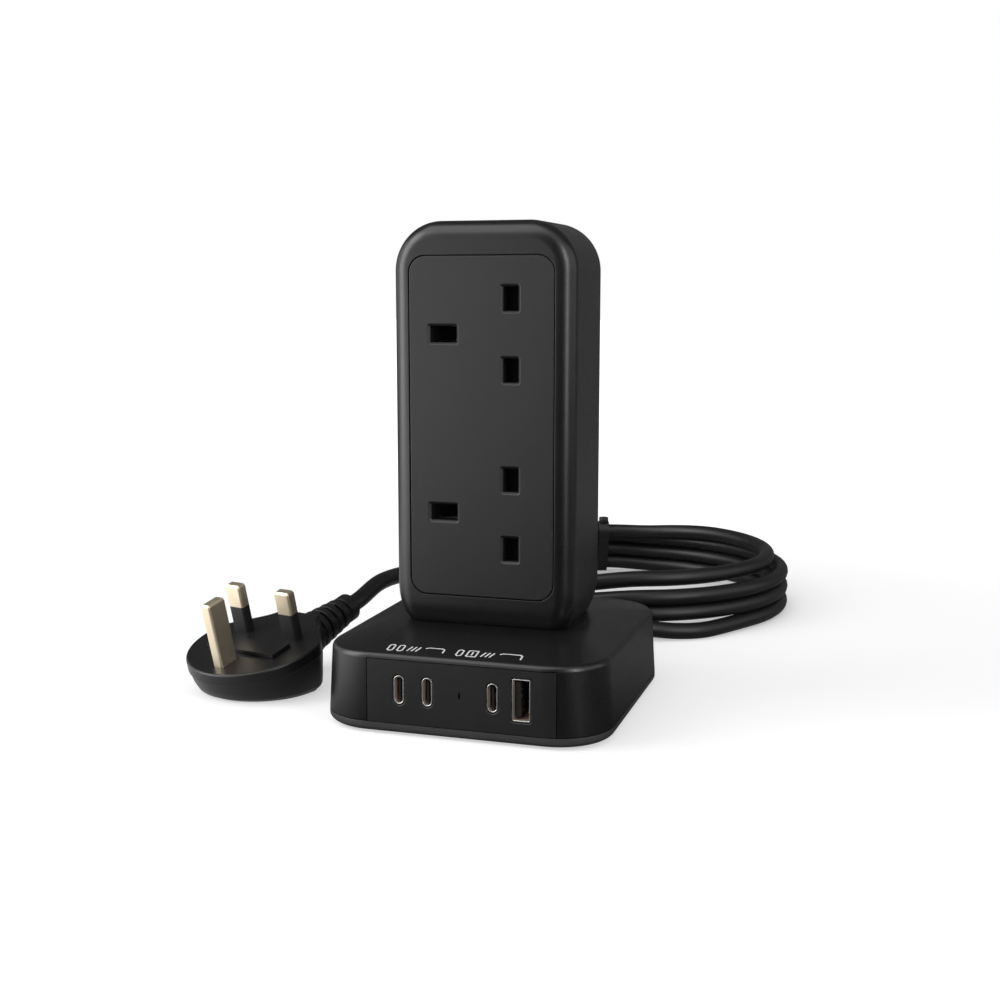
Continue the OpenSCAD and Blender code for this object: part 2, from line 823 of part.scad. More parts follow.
// Moulded rubber relief in the rear wall, narrowing to its mouth
module gland() {
    rib = gland_out / (2 * gland_ribs);
    color(rubber)
    translate([gland_x, rear_y, gland_z]) rotate([-90, 0, 0])
    difference() {
        union() {
            cylinder(d = gland_flange_d, h = gland_flange_t);
            translate([0, 0, -base_wall]) cylinder(d = gland_neck_d, h = base_wall + eps);
            translate([0, 0, -base_wall - gland_flange_t]) cylinder(d = gland_flange_d, h = gland_flange_t);
            cylinder(d = gland_tip_d, h = gland_out);
            for (k = [0:gland_ribs - 1]) {
                translate([0, 0, 2 * rib * k + rib])
                    cylinder(d = gland_d + (gland_tip_d - gland_d) * k / gland_ribs, h = rib);
            }
        }
        translate([0, 0, -base_wall - gland_flange_t - over])
            cylinder(d = cord_d + 2 * gland_fit, h = gland_out + base_wall + gland_flange_t + 2 * over);
    }
}
// The lead inside the gland and up to the clamp
module cord_tail() {
    color(cord_black)
    rod_y(cord_d, tail_y, rear_y + gland_out, gland_x, gland_z);
}
module cord_clamp() {
    color(case_black)
    difference() {
        span([gland_x - clamp_w / 2, clamp_y - clamp_d / 2, gland_z + cord_d / 2],
             [gland_x + clamp_w / 2, clamp_y + clamp_d / 2, gland_z + cord_d / 2 + clamp_t]);
        for (x = [-1, 1]) {
            translate([gland_x + x * clamp_screw_x, clamp_y, gland_z])
                cylinder(d = small_hole, h = cord_d + clamp_t);
        }
    }
}
module clamp_screws() {
    top = gland_z + cord_d / 2 + clamp_t;
    color(steel)
    for (x = [-1, 1]) {
        translate([gland_x + x * clamp_screw_x, clamp_y, top]) cylinder(d = small_head_d, h = small_head_t);
        translate([gland_x + x * clamp_screw_x, clamp_y, top - clamp_t - clamp_bite])
            cylinder(d = small_pilot, h = clamp_t + clamp_bite + eps);
    }
}

module tower_shell() {
    floor_z = top_z + wall;
    ledge_top = plate_z + plate_h / 2 + ledge_past;
    seat_w = plate_w + 2 * plate_gap;
    seat_h = plate_h + 2 * plate_gap;
    seat_r = plate_r + plate_gap;
    color(case_black)
    difference() {
        union() {
            difference() {
                tower_solid(0, top_z);
                tower_solid(wall, floor_z);
            }
            // Ledges behind the front plate and in front of the back cover
            intersection() {
                tower_solid(wall / 2, top_z + wall / 2);
                union() {
                    span([-tower_w, face_y + wall / 2, floor_z], [tower_w, ledge_y, ledge_top]);
                    span([-tower_w, cover_y - back_ledge_t, floor_z],
                         [tower_w, back_y - wall / 2, ledge_top]);
                }
            }
            for (p = tower_spots) {
                translate([p[0], p[1], floor_z - eps]) cylinder(d = boss_d, h = boss_h + eps);
            }
            for (x = [-1, 1]) {
                for (z = [-1, 1]) {
                    rod_y(boss_d, cover_y - cover_boss_h, cover_y - eps,
                          x * ledge_screw_x, plate_z + z * ledge_screw_z);
                }
            }
        }
        // Seat of the front plate and the window behind it
        upright_slab(seat_w, seat_h, seat_r, face_y - over, plate_y, 0, plate_z);
        upright_slab(window_w, window_h, window_r, plate_y - eps, ledge_y + over, 0, plate_z);
        // Seat of the back cover and its window
        upright_slab(seat_w, seat_h, seat_r, cover_y, back_y + over, 0, plate_z);
        upright_slab(window_w, window_h, window_r, cover_y - back_ledge_t - over, cover_y + eps, 0, plate_z);
        for (x = [-1, 1]) {
            for (z = [-1, 1]) {
                rod_y(small_hole, plate_y - eps, ledge_y + eps,
                      x * ledge_screw_x, plate_z + z * ledge_screw_z);
                rod_y(pilot_d, cover_y - cover_boss_h + over, cover_y + eps,
                      x * ledge_screw_x, plate_z + z * ledge_screw_z);
            }
        }
        for (s = socket_z) {
            for (q = [-1, 1]) {
                rod_y(small_pilot, plate_y + pilot_skin, ledge_y + eps,
                      q * carrier_screw_x, s + q * carrier_screw_z);
            }
        }
        for (p = tower_spots) {
            translate([p[0], p[1], top_z - eps]) cylinder(d = pilot_d, h = wall + boss_h - over);
        }
        translate([0, wire_hole_y, top_z - eps]) cylinder(d = wire_hole_d, h = wall + 2 * eps);
    }
}

// Slot with a bevelled mouth, cut through the front plate
module slot_cut(w, h, x, z) {
    a = w / 2;
    b = h / 2;
    wide_a = a + slot_bevel;
    wide_b = b + slot_bevel;
    span([x - a, face_y - over, z - b], [x + a, ledge_y + over, z + b]);
    translate([x, face_y, z]) rotate([90, 0, 0])
        loft([round_ring(a - nip, b - nip, bevel_r, -slot_bevel, 1),
              round_ring(wide_a, wide_b, bevel_r, 0, 1),
              round_ring(wide_a, wide_b, bevel_r, over, 1)]);
}
// The same in every socket: do(w, h, x, z) for live, neutral and earth
slot_list = [for (s = socket_z)
                each [[slot_w, slot_h, line_x, s + line_z],
                      [slot_w, slot_h, line_x, s - line_z],
                      [earth_w, earth_h, earth_x, s]]];

module front_plate() {
    color(face_black)
    difference() {
        union() {
            upright_slab(plate_w, plate_h, plate_r, face_y, plate_y, 0, plate_z);
            // Collars behind the slots guide the pins to the shutter
            for (q = slot_list) {
                span([q[2] - q[0] / 2 - collar_wall, plate_y - eps, q[3] - q[1] / 2 - collar_wall],
                     [q[2] + q[0] / 2 + collar_wall, ledge_y, q[3] + q[1] / 2 + collar_wall]);
            }
        }
        for (q = slot_list) {
            slot_cut(q[0], q[1], q[2], q[3]);
        }
        for (x = [-1, 1]) {
            for (z = [-1, 1]) {
                rod_y(small_pilot, plate_y - plate_pilot, plate_y + eps,
                      x * ledge_screw_x, plate_z + z * ledge_screw_z);
            }
        }
    }
}
module back_cover() {
    color(face_black)
    difference() {
        upright_slab(plate_w, plate_h, plate_r, cover_y, back_y, 0, plate_z);
        for (x = [-1, 1]) {
            for (z = [-1, 1]) {
                rod_y(screw_hole, cover_y - over, back_y + over,
                      x * ledge_screw_x, plate_z + z * ledge_screw_z);
                rod_y(head_d + 2 * clear, cover_head_y, back_y + over,
                      x * ledge_screw_x, plate_z + z * ledge_screw_z);
            }
        }
    }
}
module plate_screws() {
    color(steel)
    for (x = [-1, 1]) {
        for (z = [-1, 1]) {
            rod_y(small_head_d, ledge_y, ledge_y + small_head_t,
                  x * ledge_screw_x, plate_z + z * ledge_screw_z);
            rod_y(small_pilot, plate_y - plate_pilot + pilot_skin, ledge_y + eps,
                  x * ledge_screw_x, plate_z + z * ledge_screw_z);
        }
    }
}
module cover_screws() {
    color(steel)
    for (x = [-1, 1]) {
        for (z = [-1, 1]) {
            rod_y(head_d, cover_head_y, back_y - 2 * snug, x * ledge_screw_x, plate_z + z * ledge_screw_z);
            rod_y(pilot_d, cover_head_y - cover_screw_l, cover_head_y + eps,
                  x * ledge_screw_x, plate_z + z * ledge_screw_z);
        }
    }
}
module tower_screws() {
    color(steel)
    for (p = tower_spots) {
        translate([p[0], p[1], roof_z - head_t]) cylinder(d = head_d, h = head_t);
        translate([p[0], p[1], roof_z - eps])
            cylinder(d = pilot_d, h = base_wall + wall + boss_h - tower_screw_short);
    }
}

// Moulded block that holds the contacts of one socket and guides its shutter
module carrier(s) {
    line_w = line_pocket_w / 2;
    stop_x = blade_x + blade_w + clear;
    open_x = blade_x - shutter_travel - clear;
    color(carrier_white)
    translate([0, 0, s])
    difference() {
        union() {
            span([-carrier_w / 2, carrier_y, -carrier_h / 2], [carrier_w / 2, bar_y, carrier_h / 2]);
            // Corner pads that seat on the ledge
            for (x = [-1, 1]) {
                for (z = [-1, 1]) {
                    translate([x * (carrier_w - pad_w) / 2, ledge_y, z * (carrier_h - pad_h) / 2])
                        translate([-pad_w / 2, 0, -pad_h / 2])
                        cube([pad_w, carrier_y - ledge_y + eps, pad_h]);
                }
            }
            // Rails above and below the shutter, and its closed stop
            for (z = [-1, 1]) {
                translate([0, 0, z * (blade_h / 2 + clear + rail_w / 2) - rail_w / 2])
                    span([open_x, carrier_y - rail_h, 0], [stop_x + rail_w, carrier_y + eps, rail_w]);
                translate([0, 0, z * (bridge_h / 2 + clear + rail_w / 2) - rail_w / 2])
                    span([-carrier_w / 2, carrier_y - rail_h, 0], [open_x, carrier_y + eps, rail_w]);
            }
            span([stop_x, carrier_y - rail_h, -blade_h / 2 - clear],
                 [stop_x + rail_w, carrier_y + eps, blade_h / 2 + clear]);
        }
        // Contact pockets
        for (z = [-1, 1]) {
            span([line_x - line_w, carrier_y - over, z * line_z - line_pocket_h / 2],
                 [line_x + line_w, bar_y + over, z * line_z + line_pocket_h / 2]);
        }
        span([earth_x - earth_pocket_w / 2, carrier_y - over, -earth_pocket_h / 2],
             [earth_x + earth_pocket_w / 2, bar_y + over, earth_pocket_h / 2]);
        // Path of the ramp and trough of the spring
        span([-carrier_w / 2 - over, carrier_y - over, -ramp_w / 2 - clear],
             [earth_x + earth_pocket_w / 2, shutter_y + ramp_depth + clear + snug, ramp_w / 2 + clear]);
        span([spring_x, carrier_y - over, -trough_w / 2],
             [blade_x + trough_past, carrier_y + trough_d, trough_w / 2]);
        for (q = [-1, 1]) {
            rod_y(small_hole, ledge_y - over, bar_y + over, q * carrier_screw_x, q * carrier_screw_z);
        }
    }
}
module carrier_screws() {
    color(steel)
    for (s = socket_z) {
        for (q = [-1, 1]) {
            rod_y(small_head_d, bar_y, bar_y + small_head_t, q * carrier_screw_x, s + q * carrier_screw_z);
            rod_y(small_pilot, plate_y + 2 * pilot_skin, bar_y + eps,
                  q * carrier_screw_x, s + q * carrier_screw_z);
        }
    }
}

// Sliding shutter: blades cover the live and neutral slots, and the earth pin
// pushes the ramp aside
module shutter(s) {
    y0 = shutter_y;
    y1 = shutter_y + shutter_t;
    left = ramp_x - ramp_back;
    color(slot_grey)
    translate([0, 0, s])
    union() {
        difference() {
            union() {
                span([blade_x, y0, -blade_h / 2], [blade_x + blade_w, y1, blade_h / 2]);
                span([left, y0, -bridge_h / 2], [blade_x + eps, y1, bridge_h / 2]);
            }
            span([ramp_x, y0 - over, -pin_window_h / 2],
                 [ramp_x + 2 * ramp_l + 2 * over, y1 + over, pin_window_h / 2]);
        }
        translate([0, 0, -ramp_w / 2]) linear_extrude(ramp_w)
            polygon([[left, y0], [ramp_x, y0], [ramp_x + ramp_l, y0 + ramp_depth], [left, y0 + ramp_depth]]);
        span([tab_x, y1 - eps, -tab_w / 2], [tab_x + tab_t, y1 + tab_reach, tab_w / 2]);
    }
}
// Compression spring that closes the shutter
module shutter_spring(s) {
    color(steel)
    translate([spring_x, spring_y, s]) rotate([0, 90, 0])
    difference() {
        cylinder(d = spring_d, h = tab_x - spring_x);
        translate([0, 0, -over]) cylinder(d = spring_d - 2 * spring_wall, h = tab_x - spring_x + 2 * over);
    }
}

// Pair of leaves that grips a live or neutral pin
module line_clip(z) {
    for (q = [-1, 1]) {
        span([line_x + q * (clip_gap + clip_t) / 2 - clip_t / 2, bar_y - clip_reach, z - line_clip_h / 2],
             [line_x + q * (clip_gap + clip_t) / 2 + clip_t / 2, bar_y + eps, z + line_clip_h / 2]);
    }
    span([line_x - clip_gap / 2 - clip_t, bar_y, z - line_clip_h / 2],
         [line_x + clip_gap / 2 + clip_t, bar_y + bar_t, z + line_clip_h / 2]);
}
// Strip that joins the clips of both sockets, x across and side the pins' side
module line_bar(x, side) {
    left = min(x, line_x) - bar_w / 2 + (x < line_x ? 0 : bar_lap);
    right = max(x, line_x) + bar_w / 2 - (x < line_x ? bar_lap : 0);
    color(brass)
    union() {
        for (s = socket_z) {
            line_clip(s + side * line_z);
            span([left, bar_y, s + side * line_z - line_clip_h / 2],
                 [right, bar_y + bar_t, s + side * line_z + line_clip_h / 2]);
        }
        span([x - bar_w / 2, bar_y, socket_z[1] + side * line_z - line_clip_h / 2],
             [x + bar_w / 2, bar_y + bar_t, socket_z[0] + side * line_z + line_clip_h / 2]);
    }
}
module live_bar() {
    line_bar(live_bar_x, 1);
}
module neutral_bar() {
    line_bar(neutral_bar_x, -1);
}
module earth_bar() {
    color(brass)
    union() {
        for (s = socket_z) {
            for (q = [-1, 1]) {
                translate([0, 0, s + q * (clip_gap + clip_t) / 2 - clip_t / 2])
                    span([earth_x - earth_clip_w / 2, bar_y - clip_reach, 0],
                         [earth_x + earth_clip_w / 2, bar_y + eps, clip_t]);
            }
        }
        span([earth_x - earth_clip_w / 2, bar_y, socket_z[1] - clip_gap / 2 - clip_t],
             [earth_x + earth_clip_w / 2, bar_y + bar_t, socket_z[0] + clip_gap / 2 + clip_t]);
    }
}
module inner_wire(route, paint) {
    color(paint)
    tube(curve(route, 2), wire_d, 8, [0, -1, 0], [0, -1, 0], 22.5, [1, 0, 0]);
}

// Place of the plug: local Z is the way its pins point, local Y the way its lead leaves
plug_place = [plug_at[0], plug_at[1], plug_h];
module at_plug() {
    translate(plug_place) rotate([plug_tilt, 0, plug_turn]) children();
}
// The same place for a point
function plug_point(p) =
    let(c = cos(plug_tilt), s = sin(plug_tilt), y = p[1] * c - p[2] * s, z = p[1] * s + p[2] * c,
        ct = cos(plug_turn), st = sin(plug_turn))
    plug_place + [p[0] * ct - y * st, p[0] * st + y * ct, z];
// Thickness of the body under a place on its face, down to the surface
function plug_depth(y) = (plug_h - plug_lift + y * sin(plug_tilt)) / cos(plug_tilt);
// Half width of the plug along its length, rounded at the earth end and drawn in at the neck
function plug_half(y) =
    let(c = plug_round - plug_front, waist = plug_w / 2,
        q = soft((y + plug_waist) / (plug_back + plug_waist)))
    y < c ? waist * sqrt(max(0, 1 - pow((y - c) / plug_round, 2))) : waist + (neck_w / 2 - waist) * q;
// Right half of the plug's outline, from the earth end to the neck
plug_side = let(c = plug_round - plug_front, n = plug_points / 2)
    [for (k = [0:n])
        let(y = k <= n / 2 ? c - plug_round * cos(180 * k / n) : c + (plug_back - c) * (2 * k / n - 1))
        [k == 0 ? 0 : plug_half(y), y]];
// Whole outline, drawn in by inset
function plug_ring(inset, share) =
    let(n = len(plug_side) - 1, k = 1 - inset / (plug_w / 2), c = plug_round - plug_front,
        right = [for (i = [0:n]) plug_side[i]],
        left = [for (i = [n:-1:1]) [-plug_side[i][0], plug_side[i][1]]])
    [for (p = concat(right, left))
        let(x = p[0] * k, y = c + (p[1] - c) * k)
        [x, y, -share * plug_depth(y)]];

module plug_body() {
    color(case_black)
    at_plug()
    difference() {
        loft(concat([for (k = [0:len(plug_inset_shares) - 1])
                        plug_ring(plug_under * plug_inset_shares[k], plug_depth_shares[k])],
                    [plug_ring(plug_edge, 0)]));
        for (x = [-1, 1]) {
            translate([x * pin_step / 2 - neck_pin_w / 2 - pin_fit, -neck_pin_t / 2 - pin_fit, 0])
                translate([0, 0, -pin_root - pin_fit])
                cube([neck_pin_w + 2 * pin_fit, neck_pin_t + 2 * pin_fit, pin_root + over]);
        }
        translate([-pin_t / 2 - pin_fit, -pin_step - earth_pin_w / 2 - pin_fit, -pin_root - pin_fit])
            cube([pin_t + 2 * pin_fit, earth_pin_w + 2 * pin_fit, pin_root + over]);
        // Seat of the fuse carrier, with a shallow pull at its middle
        translate([-carrier_l / 2 - carrier_fit, fuse_y - carrier_t / 2 - carrier_fit, -carrier_deep])
            translate([0, 0, -carrier_fit])
            cube([carrier_l + 2 * carrier_fit, carrier_t + 2 * carrier_fit, carrier_deep + over]);
        // Socket for the root of the relief
        translate([0, plug_back - relief_root, -relief_drop]) rotate([-90, 0, 0])
            cylinder(d = relief_core + 2 * pin_fit, h = relief_root + 2 * over);
    }
}
// Flat blade with bevelled tip, along local Z
module blade(w, t, z0, z1) {
    draw = pin_tip * tip_share;
    span([-w / 2, -t / 2, z0], [w / 2, t / 2, z1 - pin_tip]);
    loft([round_ring(w / 2, t / 2, blade_r, z1 - pin_tip, 1),
          round_ring(w / 2 - draw, t / 2 - draw, blade_r, z1, 1)]);
}
module line_pin(side) {
    color(pin_gold)
    at_plug() translate([side * pin_step / 2, 0, 0])
    union() {
        blade(pin_w, pin_t, sleeve_l, pin_l);
        span([-neck_pin_w / 2, -neck_pin_t / 2, -pin_root], [neck_pin_w / 2, neck_pin_t / 2, sleeve_l + eps]);
    }
}
module earth_pin() {
    color(pin_gold)
    at_plug() translate([0, -pin_step, 0]) blade(pin_t, earth_pin_w, -pin_root, earth_l);
}
// Insulating sleeves on the live and neutral pins
module pin_sleeves() {
    color(rubber)
    at_plug()
    for (x = [-1, 1]) {
        translate([x * pin_step / 2, 0, 0])
        difference() {
            span([-pin_w / 2, -pin_t / 2, 0], [pin_w / 2, pin_t / 2, sleeve_l]);
            span([-neck_pin_w / 2 - pin_fit, -neck_pin_t / 2 - pin_fit, -over],
                 [neck_pin_w / 2 + pin_fit, neck_pin_t / 2 + pin_fit, sleeve_l + over]);
        }
    }
}
fuse_z = -carrier_deep - carrier_fit + contact_t + fuse_d / 2;
module fuse_carrier() {
    bed = fuse_l / 2 + fuse_play;
    color(slot_grey)
    at_plug() translate([0, fuse_y, 0])
    difference() {
        union() {
            span([-carrier_l / 2, -carrier_t / 2, -carrier_deep + carrier_raise],
                 [carrier_l / 2, carrier_t / 2, 0]);
            span([-carrier_l / 2, -carrier_t / 2, -eps], [carrier_l / 2, carrier_t / 2, carrier_proud]);
        }
        // Bed of the fuse, open below
        translate([-bed, 0, fuse_z]) rotate([0, 90, 0]) cylinder(d = fuse_d + snug, h = 2 * bed);
        span([-bed, -fuse_d / 2 + fuse_lip, -carrier_deep - over], [bed, fuse_d / 2 - fuse_lip, fuse_z]);
        // Notch for a screwdriver
        span([-notch_w / 2, carrier_t / 2 - notch_d, 0],
             [notch_w / 2, carrier_t / 2 + over, carrier_proud + over]);
    }
}
module fuse() {
    color("white")
    at_plug() translate([-fuse_l / 2, fuse_y, fuse_z]) rotate([0, 90, 0])
    union() {
        cylinder(d = fuse_case_d, h = fuse_l);
        cylinder(d = fuse_d, h = fuse_cap_l);
        translate([0, 0, fuse_l - fuse_cap_l]) cylinder(d = fuse_d, h = fuse_cap_l);
    }
}
module fuse_contacts() {
    color(brass)
    at_plug()
    for (x = [-1, 1]) {
        translate([x * (fuse_l - fuse_cap_l) / 2, fuse_y, -carrier_deep - carrier_fit])
            translate([-contact_w / 2, -contact_w / 2, 0]) cube([contact_w, contact_w, contact_t]);
    }
}
// Ribbed relief that narrows from the neck of the plug to its collar
module plug_relief() {
    rib = (relief_l - collar_l) / relief_ribs;
    color(rubber)
    at_plug() translate([0, plug_back, -relief_drop]) rotate([-90, 0, 0])
    union() {
        translate([0, 0, -relief_root]) cylinder(d = relief_core, h = relief_l + relief_root - eps);
        for (k = [0:relief_ribs - 1]) {
            translate([0, 0, k * rib])
                cylinder(d = relief_d0 + (relief_d1 - relief_d0) * k / relief_ribs, h = rib * rib_share);
        }
        translate([0, 0, relief_l - collar_l]) cylinder(d = relief_d1, h = collar_l);
    }
}

// Coil
coil_levels = floor(coil_turns);
function coil_climb(t, level) =
    soft((t - (climb_from - coil_start) / 360 - level + 1) / (climb_to - climb_from) * 360);
function near_tie(a, reach) = soft(1 - abs(((a - tie_angle + 540) % 360) - 180) / reach);
// The strands are lifted a little where the tie runs under them
function coil_point(t) =
    let(a = coil_start + 360 * t, top = coil_climb(t, coil_levels), r = coil_r - top_in * top,
        h = [for (k = [1:coil_levels]) coil_climb(t, k)] * [for (k = [1:coil_levels]) 1])
    [coil_c[0] + r * cos(a),
     coil_c[1] + r * sin(a),
     cord_d / 2 + turn_step * h + tie_lift * near_tie(a, tie_lift_angle)
         - tie_dip * top * near_tie(a, tie_dip_angle)];
probe = 0.002;
coil_t0 = unit(coil_point(probe) - coil_point(0));
coil_t1 = unit(coil_point(coil_turns) - coil_point(coil_turns - probe));
coil_in = coil_point(0) - coil_t0 * cord_d;
coil_out = coil_point(coil_turns) + coil_t1 * cord_d;
coil_steps = coil_turns * coil_rings;
coil_path = concat([coil_in], [for (i = [0:coil_steps]) coil_point(i / coil_rings)], [coil_out]);
// Least gap between the coil and itself, measured on its points
coil_gaps = [for (i = [0:coil_steps])
                for (j = [i + coil_rings / 2:coil_steps])
                    norm(coil_point(i / coil_rings) - coil_point(j / coil_rings)) - cord_d];
echo(least_coil_gap = min(coil_gaps));
coil_spans = [for (i = [1:coil_steps])
                 norm(coil_point(i / coil_rings) - coil_point((i - 1) / coil_rings))];
echo(coil_length = coil_spans * [for (k = coil_spans) 1]);

module lead_coil() {
    color(cord_black)
    tube(coil_path, cord_d, 6, coil_t0, coil_t1, 30);
}
module lead_to_coil() {
    color(cord_black)
    tube(curve(concat(lead_in_route, [coil_in]), 3), cord_d, 8, [0, 1, 0], coil_t0);
}
relief_end = plug_point([0, plug_back + relief_l, -relief_drop]);
relief_dir = unit(relief_end - plug_point([0, plug_back, -relief_drop]));
module lead_to_plug() {
    path = concat([coil_out], lead_out_route, [relief_end + relief_straight * relief_dir, relief_end]);
    color(cord_black)
    tube(curve(path, 3), cord_d, 8, coil_t1, -relief_dir);
}
// Tie round the strands at the back of the coil, with its ends twisted on top
tie_turn = (tie_angle - coil_start) / 360;
// Middle of the coil's solid between two of its rings
function coil_chord(t) =
    let(i = floor(t * coil_rings), f = t * coil_rings - i)
    (1 - f) * coil_point(i / coil_rings) + f * coil_point((i + 1) / coil_rings);
tie_strands = [for (m = [0:floor(coil_turns - tie_turn)])
                  let(p = coil_chord(tie_turn + m))
                  [(p[0] - coil_c[0]) * cos(tie_angle) + (p[1] - coil_c[1]) * sin(tie_angle), p[2]]];
module tie_outline(room) {
    hull()
    for (p = tie_strands) {
        translate(p) circle(d = cord_d + 2 * room, $fn = 16);
    }
}
module coil_tie() {
    top = tie_strands[len(tie_strands) - 1];
    color(case_black)
    translate([coil_c[0], coil_c[1], 0]) rotate([90, 0, tie_angle])
    union() {
        translate([0, 0, -tie_w / 2]) linear_extrude(tie_w)
        difference() {
            tie_outline(tie_room + tie_t);
            tie_outline(tie_room);
        }
        translate([top[0] - tie_knot_in, top[1] + cord_d / 2 + tie_room + tie_t / 2, 0]) rotate([-90, 0, 0])
            cylinder(d = tie_knot_d, h = tie_knot_h);
    }
}

base_cover();
base_plate();
port_panel();
for (i = [0:2]) {
    usb_c_shell(i);
    usb_c_tongue(i);
}
usb_a_shell();
usb_a_tongue();
light_pipe();
port_board();
power_board();
transformer();
for (i = [0:1]) {
    capacitor(i);
}
board_link();
board_screws();
for (i = [0:3]) {
    foot(i);
}
base_screws();
gland();
cord_tail();
cord_clamp();
clamp_screws();
tower_shell();
front_plate();
back_cover();
plate_screws();
cover_screws();
tower_screws();
carrier(socket_z[0]);  // upper_carrier
carrier(socket_z[1]);  // lower_carrier
carrier_screws();
shutter(socket_z[0]);  // upper_shutter
shutter(socket_z[1]);  // lower_shutter
shutter_spring(socket_z[0]);  // upper_spring
shutter_spring(socket_z[1]);  // lower_spring
live_bar();
neutral_bar();
earth_bar();
inner_wire(live_route, wire_brown);  // live_wire
inner_wire(neutral_route, wire_blue);  // neutral_wire
inner_wire(earth_route, wire_green);  // earth_wire
plug_body();
line_pin(1);  // live_pin
line_pin(-1);  // neutral_pin
earth_pin();
pin_sleeves();
fuse_carrier();
fuse();
fuse_contacts();
plug_relief();
lead_to_coil();
lead_coil();
lead_to_plug();
coil_tie();
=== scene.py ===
import math

import bmesh
import bpy
from mathutils import Matrix, Vector
from mathutils.bvhtree import BVHTree


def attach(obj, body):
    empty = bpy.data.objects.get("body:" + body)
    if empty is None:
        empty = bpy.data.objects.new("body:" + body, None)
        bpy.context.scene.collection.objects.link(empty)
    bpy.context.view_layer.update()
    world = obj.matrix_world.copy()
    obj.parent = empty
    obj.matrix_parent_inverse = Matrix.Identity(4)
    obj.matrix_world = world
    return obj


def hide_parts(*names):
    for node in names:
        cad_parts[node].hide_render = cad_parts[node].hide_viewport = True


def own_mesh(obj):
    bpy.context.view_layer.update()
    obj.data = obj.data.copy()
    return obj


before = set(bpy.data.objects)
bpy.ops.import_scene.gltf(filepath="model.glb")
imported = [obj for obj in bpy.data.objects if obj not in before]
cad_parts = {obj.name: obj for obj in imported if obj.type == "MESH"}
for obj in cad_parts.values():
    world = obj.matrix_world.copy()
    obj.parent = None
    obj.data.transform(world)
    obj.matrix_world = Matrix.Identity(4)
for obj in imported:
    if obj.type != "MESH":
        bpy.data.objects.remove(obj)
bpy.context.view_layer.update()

mm = 0.001
scene = bpy.context.scene

# Camera: a little right of the front and a little above the tower, with a
# long enough lens to keep the tower's sides upright.
camera_data = bpy.data.cameras.new("camera")
camera_data.lens = 50
camera_data.sensor_width = 36
camera_data.clip_start = 10 * mm


def added(name, data):
    thing = bpy.data.objects.new(name, data)
    scene.collection.objects.link(thing)
    return thing


camera = added("camera", camera_data)
camera.location = (0.1360, -0.4347, 0.1361)
camera.rotation_euler = (math.radians(90 - 8.553), 0, math.radians(17.359))
scene.camera = camera

# Lead: one length of black three-core flex with a soft PVC jacket. It leaves
# the base through the rear wall, lies behind it in a coil of turns stacked on
# each other, and runs past the base to the plug.
cord_d = 6.4 * mm
exit_x, exit_y, exit_z = exit_point = (0.016, 0.067, 0.012)
coil_c = (0.008, 0.160)
coil_r = 0.068
coil_start = -30
coil_turns = 3 + 7 / 12
coil_levels = 3
climb_from, climb_to = 235, 290
top_in, tie_lift, tie_dip = 6 * mm, 1.2 * mm, 3.2 * mm
coil_steps = 72
turn_step = cord_d + 0.05 * mm
tie_angle, tie_lift_reach, tie_dip_reach = 112, 24, 55
lead_in_route = [
    exit_point, (0.0169, 0.0737, 0.0114), (0.0207, 0.0819, 0.0094), (0.026, 0.0875, 0.0072),
    (0.0331, 0.0914, 0.0049), (0.043, 0.0956, 0.0036), (0.0535, 0.103, 0.0032)]
lead_out_route = [
    (-0.0553, 0.143, 0.0225), (-0.058, 0.127, 0.0221), (-0.0613, 0.109, 0.0214),
    (-0.0643, 0.090, 0.022), (-0.0663, 0.072, 0.0235), (-0.0675, 0.057, 0.0235)]


def moved(x, y, z):
    return Matrix.Translation((x, y, z))


def tipped(degrees, axis):
    return Matrix.Rotation(math.radians(degrees), 4, axis)


plug_place = moved(-0.082, -0.008, 0.018) @ tipped(-15, "Z") @ tipped(14, "X")
plug_back = 18 * mm
relief_l = 26 * mm
relief_drop = 10 * mm


def soft(share):
    q = min(max(share, 0), 1)
    return q * q * (3 - 2 * q)


def climbed(t, level):
    return soft((t - (climb_from - coil_start) / 360 - level + 1) * 360 / (climb_to - climb_from))


def near_tie(angle, reach):
    return soft(1 - abs((angle - tie_angle + 540) % 360 - 180) / reach)


def coil_place(t):
    """Middle of the lead after t turns of the coil."""
    degrees = coil_start + 360 * t
    angle, top = math.radians(degrees), climbed(t, coil_levels)
    r, levels = coil_r - top_in * top, sum(climbed(t, k) for k in range(1, coil_levels + 1))
    return Vector((coil_c[0] + r * math.cos(angle), coil_c[1] + r * math.sin(angle),
                   cord_d / 2 + turn_step * levels + tie_lift * near_tie(degrees, tie_lift_reach)
                   - tie_dip * top * near_tie(degrees, tie_dip_reach)))


def smooth_line(points, steps):
    """Points of a curve that runs through given points."""
    points = [Vector(p) for p in points]
    line = []
    for i in range(len(points) - 1):
        a, b, c = points[max(i - 1, 0)], points[i], points[i + 1]
        d = points[min(i + 2, len(points) - 1)]
        for k in range(steps):
            s = k / steps
            line.append(0.5 * (2 * b + (c - a) * s + (2 * a - 5 * b + 4 * c - d) * s ** 2
                               + (3 * b - a - 3 * c + d) * s ** 3))
    return line + [points[-1]]


def rework(mesh, *changes):
    """Put a mesh through changes of its vertices, edges and faces."""
    work = bmesh.new()
    work.from_mesh(mesh)
    for change in changes:
        change(work)
    work.to_mesh(mesh)
    work.free()


def face_out(work):
    bmesh.ops.recalc_face_normals(work, faces=work.faces)


